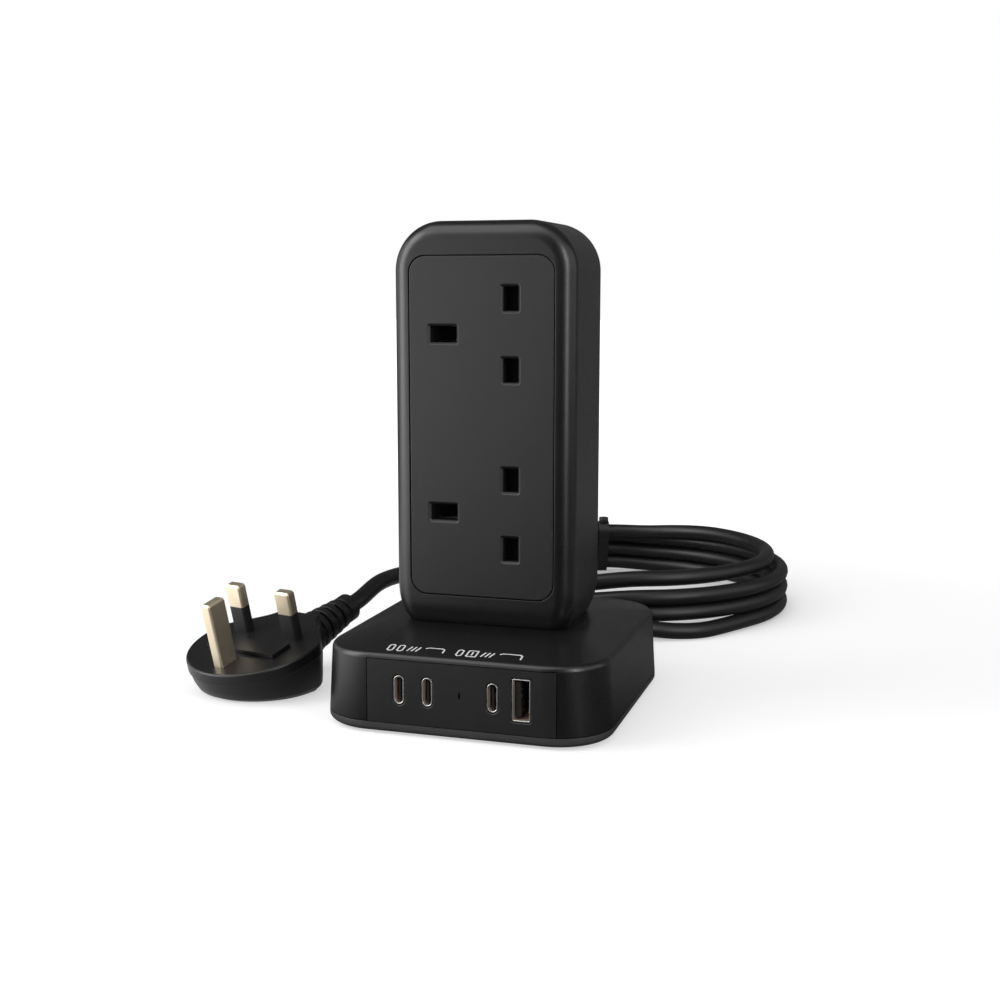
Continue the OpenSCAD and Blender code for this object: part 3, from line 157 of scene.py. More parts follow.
def new_piece(name, vertices, faces, uvs=None):
    """An object of a new mesh, its faces turned outwards."""
    mesh = bpy.data.meshes.new(name)
    mesh.from_pydata([tuple(v) for v in vertices], [], faces)
    if uvs:
        layer = mesh.uv_layers.new(name="length")
        for polygon, corners in zip(mesh.polygons, uvs):
            for loop, corner in zip(polygon.loop_indices, corners):
                layer.data[loop].uv = corner
    rework(mesh, face_out)
    return added(name, mesh)


def tube(name, line, radius, sides=20):
    """A closed round tube along a line; its UV map holds its length in metres and its turn."""
    count = len(line)
    ahead = [(line[min(i + 1, count - 1)] - line[max(i - 1, 0)]).normalized() for i in range(count)]
    across = ahead[0].orthogonal().normalized()
    vertices, lengths = [], [0]
    for i in range(count):
        if i:
            across = (across - ahead[i] * across.dot(ahead[i])).normalized()
            lengths.append(lengths[-1] + (line[i] - line[i - 1]).length)
        other = ahead[i].cross(across)
        for k in range(sides):
            turn = 2 * math.pi * k / sides
            vertices.append(line[i] + radius * (math.cos(turn) * across + math.sin(turn) * other))
    faces, uvs = [], []
    for i in range(count - 1):
        for k in range(sides):
            n = (k + 1) % sides
            faces.append((i * sides + k, i * sides + n, (i + 1) * sides + n, (i + 1) * sides + k))
            uvs.append([(lengths[i], k / sides), (lengths[i], (k + 1) / sides),
                        (lengths[i + 1], (k + 1) / sides), (lengths[i + 1], k / sides)])
    for first, length in ((0, 0), ((count - 1) * sides, lengths[-1])):
        faces.append(tuple(range(first, first + sides)))
        uvs.append([(length, k / sides) for k in range(sides)])
    return new_piece(name, vertices, faces, uvs)


def shade(piece, sharp=32):
    """Smooth faces that meet at a low angle, and let the large flat ones rule."""
    piece.data.shade_smooth()
    piece.data.set_sharp_from_angle(angle=math.radians(sharp))
    weigh = piece.modifiers.new("weigh", "WEIGHTED_NORMAL")
    weigh.keep_sharp = True
    settle(piece)


def settle(piece):
    """Turn a piece's modifiers into its plain mesh."""
    bpy.context.view_layer.update()
    seen = piece.evaluated_get(bpy.context.evaluated_depsgraph_get())
    mesh = bpy.data.meshes.new_from_object(seen)
    piece.modifiers.clear()
    old, piece.data = piece.data, mesh
    mesh.name = piece.name
    bpy.data.meshes.remove(old)


def tone(r, g, b):
    """A colour given as it shows on a screen, 0 to 255, as a shader takes it."""
    return tuple(((v / 255 + 0.055) / 1.055) ** 2.4 if v > 10 else v / 3295 for v in (r, g, b)) + (1,)


class Field:
    """A value that changes over a surface. Sums of it become Math nodes."""

    def __init__(self, finish, socket):
        self.finish, self.socket = finish, socket

    def made(self, operation, *terms):
        return self.finish.node("ShaderNodeMath", {"operation": operation}, *terms)

    def __add__(self, other):
        return self.made("ADD", self, other)

    def __sub__(self, other):
        return self.made("SUBTRACT", self, other)

    def __rsub__(self, other):
        return self.made("SUBTRACT", other, self)

    def __mul__(self, other):
        return self.made("MULTIPLY", self, other)

    def __truediv__(self, other):
        return self.made("DIVIDE", self, other)

    def __rtruediv__(self, other):
        return self.made("DIVIDE", other, self)

    __radd__ = __add__
    __rmul__ = __mul__

    def sine(self):
        return self.made("SINE", self)

    def above(self, edge, width):
        """0 below the edge and 1 above it, over a width."""
        return self.finish.node("ShaderNodeMapRange", {"interpolation_type": "SMOOTHSTEP"}, self,
                                edge - width / 2, edge + width / 2, 0.0, 1.0)


class Finish:
    """A material with one shader, whose inputs may change over the surface."""

    def __init__(self, name, **constants):
        self.material = bpy.data.materials.new(name)
        self.material.use_nodes = True
        self.nodes = self.material.node_tree.nodes
        self.links = self.material.node_tree.links
        self.shader = self.nodes["Principled BSDF"]
        for key, value in constants.items():
            self.shader.inputs[key.replace("_", " ")].default_value = value
        self.place = self.node("ShaderNodeTexCoord", {}, output="Object")

    def node(self, kind, settings, *values, output=0, **named):
        made = self.nodes.new(kind)
        for key, value in settings.items():
            setattr(made, key, value)
        for key, value in list(enumerate(values)) + [(k.replace("_", " "), v) for k, v in named.items()]:
            socket = made.inputs[key]
            if isinstance(value, Field):
                self.links.new(value.socket, socket)
            elif value is not None:
                socket.default_value = value
        return Field(self, made.outputs[output])

    def noise(self, size, detail=2.0, place=None):
        """Soft noise whose patches are about size across."""
        return self.node("ShaderNodeTexNoise", {}, Vector=place or self.place, Scale=1 / size, Detail=detail)

    def along_and_round(self):
        """The length run along a tube so far, and the share of a turn round it."""
        self.run = self.node("ShaderNodeUVMap", {"uv_map": "length"})
        along = self.node("ShaderNodeSeparateXYZ", {}, self.run)
        return along, Field(self, along.socket.node.outputs[1])

    def axis(self, name):
        return self.node("ShaderNodeSeparateXYZ", {}, self.place, output=name)

    def stretched(self, x, y, z, place=None):
        return self.node("ShaderNodeVectorMath", {"operation": "MULTIPLY"},
                         place or self.place, (x, y, z))

    def waves(self, way, scale, distortion):
        """Soft bands, one after another in a direction."""
        return self.node("ShaderNodeTexWave", {"wave_type": "BANDS", "bands_direction": way},
                         Vector=self.place, Scale=scale, Distortion=distortion)

    def between(self, amount, low, high):
        """A colour from low to high, each a colour as it shows or one that changes itself."""
        low, high = (tone(*end) if isinstance(end, tuple) else end for end in (low, high))
        return self.node("ShaderNodeMix", {"data_type": "RGBA"}, amount, *[None] * 5, low, high, output=2)

    def paints(self, amount, low, high):
        self.feeds("Base Color", self.between(amount, low, high))

    def feeds(self, name, value):
        self.links.new(value.socket, self.shader.inputs[name])

    def bumps(self, height, depth):
        """Raise the surface by height, where 1 is depth."""
        self.feeds("Normal", self.node("ShaderNodeBump", {}, Strength=1.0, Distance=depth, Height=height,
                                       output="Normal"))


def covered(piece, finish, body="case"):
    """Give a piece its finish and its body."""
    piece.data.materials.clear()
    piece.data.materials.append(finish.material)
    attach(piece, body)
    return piece


def fitted(piece, finish, node, sharp=30, body="case"):
    """Smooth a piece, finish it, and hide the solid that it stands for."""
    shade(piece, sharp)
    covered(piece, finish, body)
    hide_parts(node)
    return piece


coil_line = [coil_place(i / coil_steps) for i in range(round(coil_turns * coil_steps) + 1)]
coil_in = coil_line[0] - (coil_line[1] - coil_line[0]).normalized() * cord_d
coil_out = coil_line[-1] + (coil_line[-1] - coil_line[-2]).normalized() * cord_d
relief_end = plug_place @ Vector((0, plug_back + relief_l, -relief_drop))
relief_way = (relief_end - plug_place @ Vector((0, plug_back, -relief_drop))).normalized()
lead_line = (smooth_line(lead_in_route + [coil_in], 7) + coil_line
             + smooth_line([coil_out] + lead_out_route + [relief_end + 7 * mm * relief_way, relief_end], 7))
lead = tube("lead", lead_line, cord_d / 2, 24)
shade(lead, 60)
flex = Finish("black_flex", Specular_IOR_Level=0.42)
along, turn = flex.along_and_round()
flow = flex.noise(1, 3.0, flex.stretched(60, 9, 1, flex.run))
flex_grain = flex.noise(0.35 * mm, 2.0)
core_twist = 46 * mm
swell = (along * (2 * math.pi / core_twist) + turn * (6 * math.pi)).sine()
flex.paints(flow, (13, 13, 14), (20, 20, 20))
flex.feeds("Roughness", flow * 0.12 + flex_grain * 0.06 + 0.34)
flex.bumps(flow * 0.35 + flex_grain * 0.25 + swell * 0.5, 0.05 * mm)
covered(lead, flex)
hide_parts("lead_to_coil", "lead_coil", "lead_to_plug")
lead_length = sum((b - a).length for a, b in zip(lead_line, lead_line[1:]))

# End of the lead inside the base: the jacket runs on through the gland to the
# clamp, where it is stripped and its three cores part.
tail_y, tail_l, steps = exit_y - 0.1 * mm, 32.9 * mm, 6
tail_line = [Vector((exit_x, tail_y - tail_l * k / steps, exit_z)) for k in range(steps + 1)]
fitted(tube("lead_tail", tail_line, cord_d / 2, 24), flex, "cord_tail", 60)

# Gland: soft rubber relief moulded in one piece. A flange on each side of the
# rear wall holds it, and four ribs narrow towards its mouth.
back_way = tipped(-90, "X")
rear_y = 49 * mm
gland_place = moved(exit_x, rear_y, exit_z) @ back_way


def loft(name, rings, closed=False):
    """A skin over rings of as many points each, capped, or closed from last to first."""
    count, last = len(rings[0]), len(rings) - 1
    steps = [(j * count, (j + 1) % (last + 1) * count) for j in range(last + closed)]
    faces = [(a + i, a + (i + 1) % count, b + (i + 1) % count, b + i) for a, b in steps for i in range(count)]
    if not closed:
        faces += [tuple(range(count)), tuple(range(last * count, last * count + count))]
    piece = new_piece(name, [v for ring in rings for v in ring], faces)
    tidy(piece)
    return piece


def circle(r, z, place, sides):
    turns = [2 * math.pi * k / sides for k in range(sides)]
    return [place @ Vector((r * math.cos(t), r * math.sin(t), z)) for t in turns]


def turned(name, profile, place, sides=64):
    """A solid turned from (radius, height) pairs; the profile closes on itself."""
    return loft(name, [circle(r, h, place, sides) for r, h in profile], True)


def tidy(piece, join=0.5e-6):
    """Merge doubled points and turn the faces outwards."""
    rework(piece.data, lambda work: bmesh.ops.remove_doubles(work, verts=work.verts, dist=join),
           lambda work: bmesh.ops.dissolve_degenerate(work, edges=work.edges, dist=join), face_out)


def in_mm(*pairs):
    """Pairs given in millimetres, as pairs in metres."""
    return [(u * mm, v * mm) for u, v in pairs]


def rounded_profile(corners, r=0.25 * mm):
    """A profile with its corners rounded."""
    points, count, steps = [], len(corners), 4
    for i in range(count):
        a, b, c = (Vector(corners[(i + k) % count]) for k in (-1, 0, 1))
        u, v = (a - b), (c - b)
        reach = min(r, 0.45 * u.length, 0.45 * v.length)
        u, v = u.normalized() * reach, v.normalized() * reach
        if b.x < 1e-6 or reach <= 0:
            points.append(b)
            continue
        for k in range(steps + 1):
            s = k / steps
            points.append(b + u * (1 - s) ** 2 + v * s ** 2)
    return [(p.x, p.y) for p in points]


def mottled(name, size, detail, dark, light, spread, rough, depth=0.0, **constants):
    """A finish of soft clouds, which change its tone and gloss and stand up a little."""
    made = Finish(name, **constants)
    made.cloud = made.noise(size * mm, detail)
    made.paints(made.cloud, dark, light)
    made.feeds("Roughness", made.cloud * spread + rough)
    if depth:
        made.bumps(made.cloud, depth * mm)
    return made


class Recipe:
    """A way to grow a repeated form, with named inputs for its sizes."""

    def __init__(self, name, **inputs):
        self.tree = bpy.data.node_groups.new(name, "GeometryNodeTree")
        self.tree.interface.new_socket("Geometry", in_out="INPUT", socket_type="NodeSocketGeometry")
        for key, kind in inputs.items():
            self.tree.interface.new_socket(key.replace("_", " "), in_out="INPUT",
                                           socket_type="NodeSocket" + kind)
        self.tree.interface.new_socket("Material", in_out="INPUT", socket_type="NodeSocketMaterial")
        self.tree.interface.new_socket("Geometry", in_out="OUTPUT", socket_type="NodeSocketGeometry")
        self.start = self.tree.nodes.new("NodeGroupInput")

    def node(self, kind, inputs, output=0, **settings):
        """A node; an input given as text takes the tree's input of that name."""
        made = self.tree.nodes.new(kind)
        for key, value in settings.items():
            setattr(made, key, value)
        for key, value in inputs.items():
            if isinstance(value, str):
                value = self.start.outputs[value]
            if isinstance(value, bpy.types.NodeSocket):
                self.tree.links.new(value, made.inputs[key])
            else:
                made.inputs[key].default_value = value
        return made.outputs[output]

    def step(self, kind, output=0, **inputs):
        return self.node("GeometryNode" + kind, {key.replace("_", " "): v for key, v in inputs.items()}, output)

    def maths(self, operation, *terms):
        return self.node("ShaderNodeMath", dict(enumerate(terms)), operation=operation)

    def vector(self, x=0.0, y=0.0, z=0.0):
        return self.node("ShaderNodeCombineXYZ", {0: x, 1: y, 2: z})

    def ends(self, points, instance, **inputs):
        """Put the instance on each point, as real geometry in the piece's material."""
        placed = self.step("InstanceOnPoints", Points=points, Instance=instance, **inputs)
        real = self.step("RealizeInstances", Geometry=placed)
        painted = self.step("SetMaterial", Geometry=real, Material="Material")
        last = self.tree.nodes.new("NodeGroupOutput")
        self.tree.links.new(painted, last.inputs[0])

    def grown(self, name, finish, place=Matrix(), points=((0, 0, 0),), **values):
        """A plain mesh of what the tree makes with these sizes."""
        mesh = bpy.data.meshes.new(name)
        mesh.from_pydata(list(points), [], [])
        piece = added(name, mesh)
        modifier = piece.modifiers.new("grown", "NODES")
        modifier.node_group = self.tree
        values["Material"] = finish.material
        for item in self.tree.interface.items_tree:
            if item.in_out == "INPUT" and item.name.replace(" ", "_") in values:
                modifier[item.identifier] = values[item.name.replace(" ", "_")]
        settle(piece)
        piece.data.transform(place)
        return piece


def dropped(*pieces):
    for piece in pieces:
        old = piece.data
        bpy.data.objects.remove(piece)
        bpy.data.meshes.remove(old)


def joined(name, pieces):
    """Several meshes as one piece."""
    work = bmesh.new()
    for piece in pieces:
        work.from_mesh(piece.data)
    mesh = bpy.data.meshes.new(name)
    work.to_mesh(mesh)
    work.free()
    dropped(*pieces)
    return added(name, mesh)


rubber = Finish("moulded_rubber", Specular_IOR_Level=0.4)
rubber_cloud = rubber.noise(2.2 * mm, 3.0)
rubber_grain = rubber.noise(0.3 * mm, 2.0)
rubber.paints(rubber_cloud, (12, 12, 13), (20, 20, 21))
rubber.feeds("Roughness", rubber_cloud * 0.12 + rubber_grain * 0.1 + 0.4)
rubber.bumps(rubber_grain * 0.6 + rubber_cloud * 0.4, 0.03 * mm)

# Round ribs in a row along Z, from the first radius to the last
ribs = Recipe("ribs", Count="Int", Start="Float", Pitch="Float", Width="Float", First="Float", Last="Float",
              Bore="Float", Round="Float")
rib_start = ribs.vector(z=ribs.maths("ADD", "Start", ribs.maths("MULTIPLY", "Width", 0.5)))
rib_row = ribs.step("MeshLine", Count="Count", Start_Location=rib_start, Offset=ribs.vector(z="Pitch"))
rib_depth = ribs.maths("SUBTRACT", "First", "Bore")
section = ribs.step("CurvePrimitiveQuadrilateral", Width=rib_depth, Height="Width")
section = ribs.node("GeometryNodeFilletCurve", {"Curve": section, "Count": 4, "Radius": "Round"}, mode="POLY")
middle = ribs.maths("MULTIPLY", ribs.maths("ADD", "First", "Bore"), 0.5)
hoop = ribs.step("CurvePrimitiveCircle", Resolution=64, Radius=middle)
share = ribs.maths("DIVIDE", ribs.step("InputIndex"), "Count")
fall = ribs.maths("SUBTRACT", ribs.maths("DIVIDE", "Last", "First"), 1.0)
rib_size = ribs.maths("MULTIPLY_ADD", share, fall, 1.0)
ribs.ends(rib_row, ribs.step("CurveToMesh", Curve=hoop, Profile_Curve=section),
          Scale=ribs.vector(rib_size, rib_size, 1.0))

gland_core = turned("gland_core", rounded_profile(in_mm(
    (3.3, -4.2), (7.75, -4.2), (7.75, -2.2), (5.8, -2.2), (5.8, 0), (7.75, 0), (7.75, 2), (4.5, 2.05),
    (4.5, 18), (3.3, 18))), gland_place)
gland_ribs = ribs.grown("gland_ribs", rubber, gland_place, Count=4, Start=2.25 * mm, Pitch=4.5 * mm,
                        Width=2.25 * mm, First=6.5 * mm, Last=4.5 * mm, Bore=4 * mm, Round=0.3 * mm)
gland = joined("gland_relief", [gland_core, gland_ribs])
fitted(gland, rubber, "gland", 40)

# Base cover: the moulded upper part of the base, upright sides, rounded edge
# and a low crown that rises to the foot of the tower. Satin black plastic.
base_w, base_d, base_h = 94 * mm, 98 * mm, 26 * mm
base_r, base_edge, base_in = 18 * mm, 2 * mm, 1.6 * mm
crown, crown_r, edge_sweep = 3 * mm, 6.5 * mm, 74
seam, groove_in = 0.25 * mm, 1.1 * mm
top_z = base_h + crown
pan_z = 3.8 * mm
base_wall = 2.2 * mm
tower_w, tower_d, tower_top = 60 * mm, 40 * mm, 158 * mm
tower_r, edge_r, wall = 15.5 * mm, 5.7 * mm, 2.5 * mm
foot_in, foot_rise, foot_in_y, foot_rise_y = 3.2 * mm, 13 * mm, 2.5 * mm, 7.3 * mm


def rounded(half_w, half_h, r, n):
    """Corner points of a rounded rectangle, anticlockwise."""
    points = []
    for q in range(4):
        sx, sy = (1 if q in (0, 3) else -1), (1 if q < 2 else -1)
        for k in range(n + 1):
            t = math.radians(90 * (q + k / n))
            points.append((sx * (half_w - r) + r * math.cos(t), sy * (half_h - r) + r * math.sin(t)))
    return points


def stack(name, half_w, half_h, r, levels, place=Matrix(), n=14, closed=False):
    """A solid of rounded rectangles, from levels of (height, growth)."""
    rings = [(h, rounded(half_w + g, half_h + g, max(r + g, 0.02 * mm), n)) for h, g in levels]
    return loft(name, [[place @ Vector((u, v, h)) for u, v in ring] for h, ring in rings], closed)


def four(a, b, middle=0):
    """Four places, a to each side and b to each side of the middle line."""
    return [(x * a, middle + y * b) for x in (-1, 1) for y in (-1, 1)]


def box(name, low, high):
    """A plain box, only ever used as a cutter or melted into a larger solid."""
    (a, b, c), (d, e, f) = low, high
    return loft(name, [[(a, b, z), (d, b, z), (d, e, z), (a, e, z)] for z in (c, f)])


def carve(piece, *cutters, operation="DIFFERENCE"):
    """Cut solids out of a piece, or add them to it, and drop them."""
    for cutter in cutters:
        modifier = piece.modifiers.new("carve", "BOOLEAN")
        modifier.operation, modifier.object, modifier.solver = operation, cutter, "MANIFOLD"
    settle(piece)
    dropped(*cutters)
    return piece


def upright(x, z):
    """Place of a solid that is drawn flat and faces the front."""
    return moved(x, 0, z) @ tipped(90, "X")


def base_half(z):
    return base_w / 2 - base_in * z / base_h


def base_rings(inset, floor, groove=False):
    """Rings of the base, drawn in by an inset: sides, rounded edge and crown."""
    edge = max(base_edge - inset, 0.4 * mm)
    shoulder = base_h - inset - edge
    sweep = math.radians(edge_sweep)
    rim_in, rim_z = edge * (1 - math.cos(sweep)) + inset, shoulder + edge * math.sin(sweep)
    dome_z = top_z - inset
    foot_a, foot_b = tower_w / 2 - foot_in + 1 * mm, tower_d / 2 - foot_in_y + 1 * mm

    def ring(a, b, r, z):
        return [(x, y, z) for x, y in rounded(a, b, r, 20)]

    def level(z, s):
        return ring(base_half(z) - s, base_d / 2 - s, base_r - s, z)

    rings = [level(floor, inset)]
    if groove:
        # Shadow line above the bottom plate
        rings = [level(floor, groove_in), level(floor + seam, groove_in), level(floor + seam, 0.1 * mm),
                 level(floor + seam + 0.1 * mm, 0)]
    for k in range(9):
        t = sweep * k / 8
        rings.append(level(shoulder + edge * math.sin(t), inset + edge * (1 - math.cos(t))))
    a, b, r = base_half(rim_z) - rim_in, base_d / 2 - rim_in, base_r - rim_in
    for k in range(1, 19):
        s = k / 18
        rings.append(ring(a + (foot_a - a) * s, b + (foot_b - b) * s, r + (crown_r - r) * s,
                          rim_z + (dome_z - rim_z) * math.sin(math.pi / 2 * s)))
    return rings


panel_x0, panel_x1, panel_top, panel_t = -28 * mm, 33 * mm, 24.3 * mm, 3.6 * mm
base_front = -base_d / 2
gland_hole_r, wire_hole_r, wire_hole_y = 5.9 * mm, 6 * mm, 10 * mm


def moulded(name, dark, light, rough, grain, depth, gloss=0.5):
    """Moulded plastic: a fine eroded grain, faint clouds of tone and of gloss."""
    made = Finish(name, Specular_IOR_Level=gloss)
    cloud = made.noise(14 * mm, 3.0)
    patch = made.noise(2.5 * mm, 3.0)
    fine = made.noise(grain, 2.0)
    made.paints(cloud * 0.5 + fine * 0.5, dark, light)
    made.feeds("Roughness", cloud * 0.06 + patch * 0.08 + fine * 0.08 + rough)
    made.bumps(fine * 0.8 + patch * 0.2, depth)
    return made


satin_black = moulded("satin_black_plastic", (14, 14, 15), (20, 20, 21), 0.19, 0.4 * mm, 0.025 * mm)
base_cover = loft("base_cover_moulding", base_rings(0, pan_z, True))
carve(base_cover, loft("hollow", base_rings(base_wall, pan_z - 0.1 * mm)))
carve(base_cover, box("window", (panel_x0, base_front - 1 * mm, pan_z - 0.2 * mm),
                      (panel_x1, base_front + panel_t, panel_top)),
      stack("gland_hole", gland_hole_r, gland_hole_r, gland_hole_r - 0.01 * mm,
            [(-rear_y - 2 * mm, 0), (-rear_y + 4 * mm, 0)], upright(exit_x, exit_z)),
      stack("wire_hole", wire_hole_r, wire_hole_r, wire_hole_r - 0.01 * mm,
            [(base_h, 0), (top_z + 1 * mm, 0)], moved(0, wire_hole_y, 0)))
fitted(base_cover, satin_black, "base_cover")

# Print: a row of small port marks in white ink along the front of the crown,
# each drawn as a thin layer that follows the surface.
ink = mottled("white_ink", 0.3, 2.0, (200, 200, 198), (226, 226, 224), 0.2, 0.5, 0.01,
              Specular_IOR_Level=0.3)
crown_skin = BVHTree.FromPolygons([v.co for v in base_cover.data.vertices],
                                  [tuple(f.vertices) for f in base_cover.data.polygons])


def stroke(corners):
    """One printed line through corners given in millimetres."""
    path, width = [], 0.5
    for (a, b), (c, d) in zip(corners, corners[1:]):
        steps = max(1, round(math.hypot(c - a, d - b) / 0.4))
        path += [Vector((a + (c - a) * k / steps, b + (d - b) * k / steps)) for k in range(steps)]
    path.append(Vector(corners[-1]))
    vertices, count = [], len(path)
    for i, at in enumerate(path):
        ahead = (path[min(i + 1, count - 1)] - path[max(i - 1, 0)]).normalized()
        if corners[0] == corners[-1] and i in (0, count - 1):
            ahead = (path[1] - path[-2]).normalized()
        aside = Vector((-ahead.y, ahead.x)) * width / 2
        for side in (-1, 1):
            spot = (at + side * aside) * mm
            top = crown_skin.ray_cast(Vector((spot.x, spot.y, 0.1)), Vector((0, 0, -1)))[0]
            vertices += [top + Vector((0, 0, 0.02 * mm)), top - Vector((0, 0, 0.03 * mm))]
    faces = [(0, 1, 3, 2), tuple(4 * (count - 1) + k for k in (0, 2, 3, 1))]
    for i in range(count - 1):
        a, b = 4 * i, 4 * i + 4
        faces += [(a, a + 2, b + 2, b), (a + 1, b + 1, b + 3, a + 3),
                  (a, b, b + 1, a + 1), (a + 2, a + 3, b + 3, b + 2)]
    return new_piece("stroke", vertices, faces)


def outline(x, y, half_w, half_h, r):
    ring = [(x + u, y + v) for u, v in rounded(half_w, half_h, r, 6)]
    return ring + ring[:1]


def dashes(x):
    return [[(x + 1.4 * k, -45.2), (x + 0.8 + 1.4 * k, -42.0)] for k in range(3)]


marks = [outline(-21.6, -43.6, 0.85, 2.1, 0.84), outline(-18.4, -43.6, 0.85, 2.1, 0.84), *dashes(-15.9),
         [(-10.6, -42.6), (-9.6, -41.9), (-5.4, -41.9), (-4.4, -42.6), (-4.4, -44.9)],
         outline(0.9, -43.6, 0.85, 2.1, 0.84), outline(4.9, -43.6, 1.5, 2.1, 0.3), [(4.9, -44.8), (4.9, -42.4)],
         *dashes(8.0), [(13.4, -42.6), (14.4, -41.9), (19.6, -41.9), (20.6, -42.6), (20.6, -45.2)]]
print_row = joined("port_marks", [stroke(mark) for mark in marks])
covered(print_row, ink)

# Bottom plate: a flat moulding with a rounded lower rim, screwed up into the
# cover. It shows as the low band under the seam.
plate_cover = moulded("matte_black_plastic", (42, 42, 43), (54, 54, 55), 0.45, 0.45 * mm, 0.03 * mm)
half = base_half(pan_z)
low_rim = in_mm((0.8, -1.5), (0.84, -1.32), (1.2, -0.75), (1.7, -0.28), (2.3, 0), (3.65, 0), (3.8, -0.15))
base_plate = stack("base_plate_moulding", half, base_d / 2, base_r, low_rim, n=20)
foot_spots = four(0.70 * base_w / 2, 0.72 * base_d / 2)
screw_spots = four(0.845 * base_w / 2, 0.45 * base_d / 2)


def copied(node):
    """The mesh of a constructed solid, merged and closed."""
    piece = added(node + "_copy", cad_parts[node].data.copy())
    tidy(piece, 1e-6)
    return piece


def rod(name, r, z0, z1, place=Matrix(), sides=48, ease=1e-6):
    """A round bar along Z, with its ends eased."""
    rings = [(z0, r - ease), (z0 + ease, r), (z1 - ease, r), (z1, r - ease)]
    return loft(name, [circle(q, z, place, sides) for z, q in rings])


upper = carve(copied("base_plate"), box("above", (-60 * mm, -60 * mm, 3.6 * mm), (60 * mm, 60 * mm, 30 * mm)),
              operation="INTERSECT")
carve(base_plate, upper, operation="UNION")
screw_hole_r, screw_seat_r, foot_r, foot_h = 1.6 * mm, 3 * mm, 5.5 * mm, 1.6 * mm
holes = [rod("hole", screw_hole_r, 0, 10 * mm, moved(x, y, 0)) for x, y in screw_spots]
holes += [rod("seat", screw_seat_r, 0, 2.6 * mm, moved(x, y, 0)) for x, y in screw_spots]
holes += [rod("pad", foot_r + 0.1 * mm, 0, foot_h, moved(x, y, 0), 64) for x, y in foot_spots]
carve(base_plate, *holes)
fitted(base_plate, plate_cover, "base_plate")

# Feet: four soft discs pressed into round seats of the bottom plate.
foot_profile = rounded_profile([(0, 0), (foot_r, 0), (foot_r, foot_h), (0, foot_h)], 0.35 * mm)
foot = turned("foot", foot_profile, Matrix())

# One template at each point of the mesh that carries the tree
places = Recipe("places", Template="Object", Size="Float")
places.ends("Geometry", places.step("ObjectInfo", "Geometry", Object="Template"), Scale="Size")
for number, (x, y) in enumerate(foot_spots, 1):
    pad = places.grown("foot_%d_pad" % number, rubber, points=[(x, y, 0)], Template=foot, Size=1.0)
    fitted(pad, rubber, "foot_%d" % number, 40)
dropped(foot)

# Screws: zinc-plated steel with pan heads and a cross recess. Four long ones
# hold the base together, four more hold the tower on it from inside.
zinc = mottled("zinc_plated_steel", 1.5, 3.0, (176, 178, 182), (205, 206, 209), 0.16, 0.22, 0.02,
               Metallic=1.0)


def screw(head_d, head_t, shank_d, length):
    """A pan-head screw along Z with its head's top at 0, pointing down."""
    r, s = head_d / 2, shank_d / 2
    dome = [(0, 0), (0.5, -0.03), (0.8, -0.14), (0.95, -0.36), (1, -0.6), (1, -1), (0, -1)]
    head = turned("head", [(r * u, head_t * v) for u, v in dome], Matrix(), 40)
    bar, reach, deep = r * 0.16, r * 0.56, 0.55 * head_t
    carve(head, box("slot", (-reach, -bar, -deep), (reach, bar, 1 * mm)),
          box("slot", (-bar, -reach, -deep), (bar, reach, 1 * mm)))
    pitch, turns = shank_d * 0.4, int(length / (shank_d * 0.4))
    profile = [(0, -head_t)]
    for k in range(turns):
        z = -head_t - pitch * k
        profile += [(s * 0.8, z - pitch * 0.05), (s * 0.8, z - pitch * 0.45), (s, z - pitch * 0.7)]
    end = -head_t - length
    shank = turned("shank", profile + [(s * 0.7, end + 0.3 * mm), (0, end)], Matrix(), 24)
    return joined("screw", [head, shank])


def screwed(name, node, sizes, spots, way):
    """Screws of sizes in millimetres in their holes; way is where their heads face."""
    template = screw(*(size * mm for size in sizes))
    turn = Vector((0, 0, 1)).rotation_difference(Vector(way)).to_matrix().to_4x4()
    back = turn.inverted()
    piece = places.grown(name, zinc, turn, [back @ Vector(p) for p in spots], Template=template, Size=1.0)
    fitted(piece, zinc, node, 35)
    dropped(template)


roof_z, boss_spots = top_z - base_wall, four(18 * mm, 8.5 * mm)
small_screw = (3.8, 1.4, 1.7)
screwed("base_plate_screws", "base_screws", (5.4, 1.7, 2.4, 10.2),
        [(x, y, 0.9 * mm) for x, y in screw_spots], (0, 0, -1))
screwed("tower_foot_screws", "tower_screws", (5.4, 1.8, 2.4, 10.6),
        [(x, y, roof_z - 1.8 * mm) for x, y in boss_spots], (0, 0, -1))

# Port panel: a matt moulding let into the front of the base, with an eased
# opening for each port and a slot for the indicator.
panel_black = moulded("matt_panel_plastic", (17, 17, 18), (24, 24, 25), 0.36, 0.35 * mm, 0.03 * mm)
panel = loft("port_panel_moulding", base_rings(0, pan_z))
carve(panel, box("cut", (panel_x0 + seam, base_front - 1 * mm, pan_z + seam),
                 (panel_x1 - seam, base_front + panel_t, panel_top - seam)), operation="INTERSECT")
flange = loft("panel_flange", base_rings(base_wall + 0.15 * mm, pan_z))
carve(flange, box("cut", (panel_x0 - 2.5 * mm, base_front, pan_z),
                  (panel_x1 + 2.5 * mm, base_front + panel_t, panel_top - 2 * mm)), operation="INTERSECT")
carve(panel, flange, operation="UNION")
port_z = 14.7 * mm
usb_c_x = [-17.3 * mm, -8.05 * mm, 12.9 * mm]
usb_a_x, light_x = 22 * mm, 2.4 * mm
port_y, port_board_y = base_front + 0.2 * mm, -39 * mm


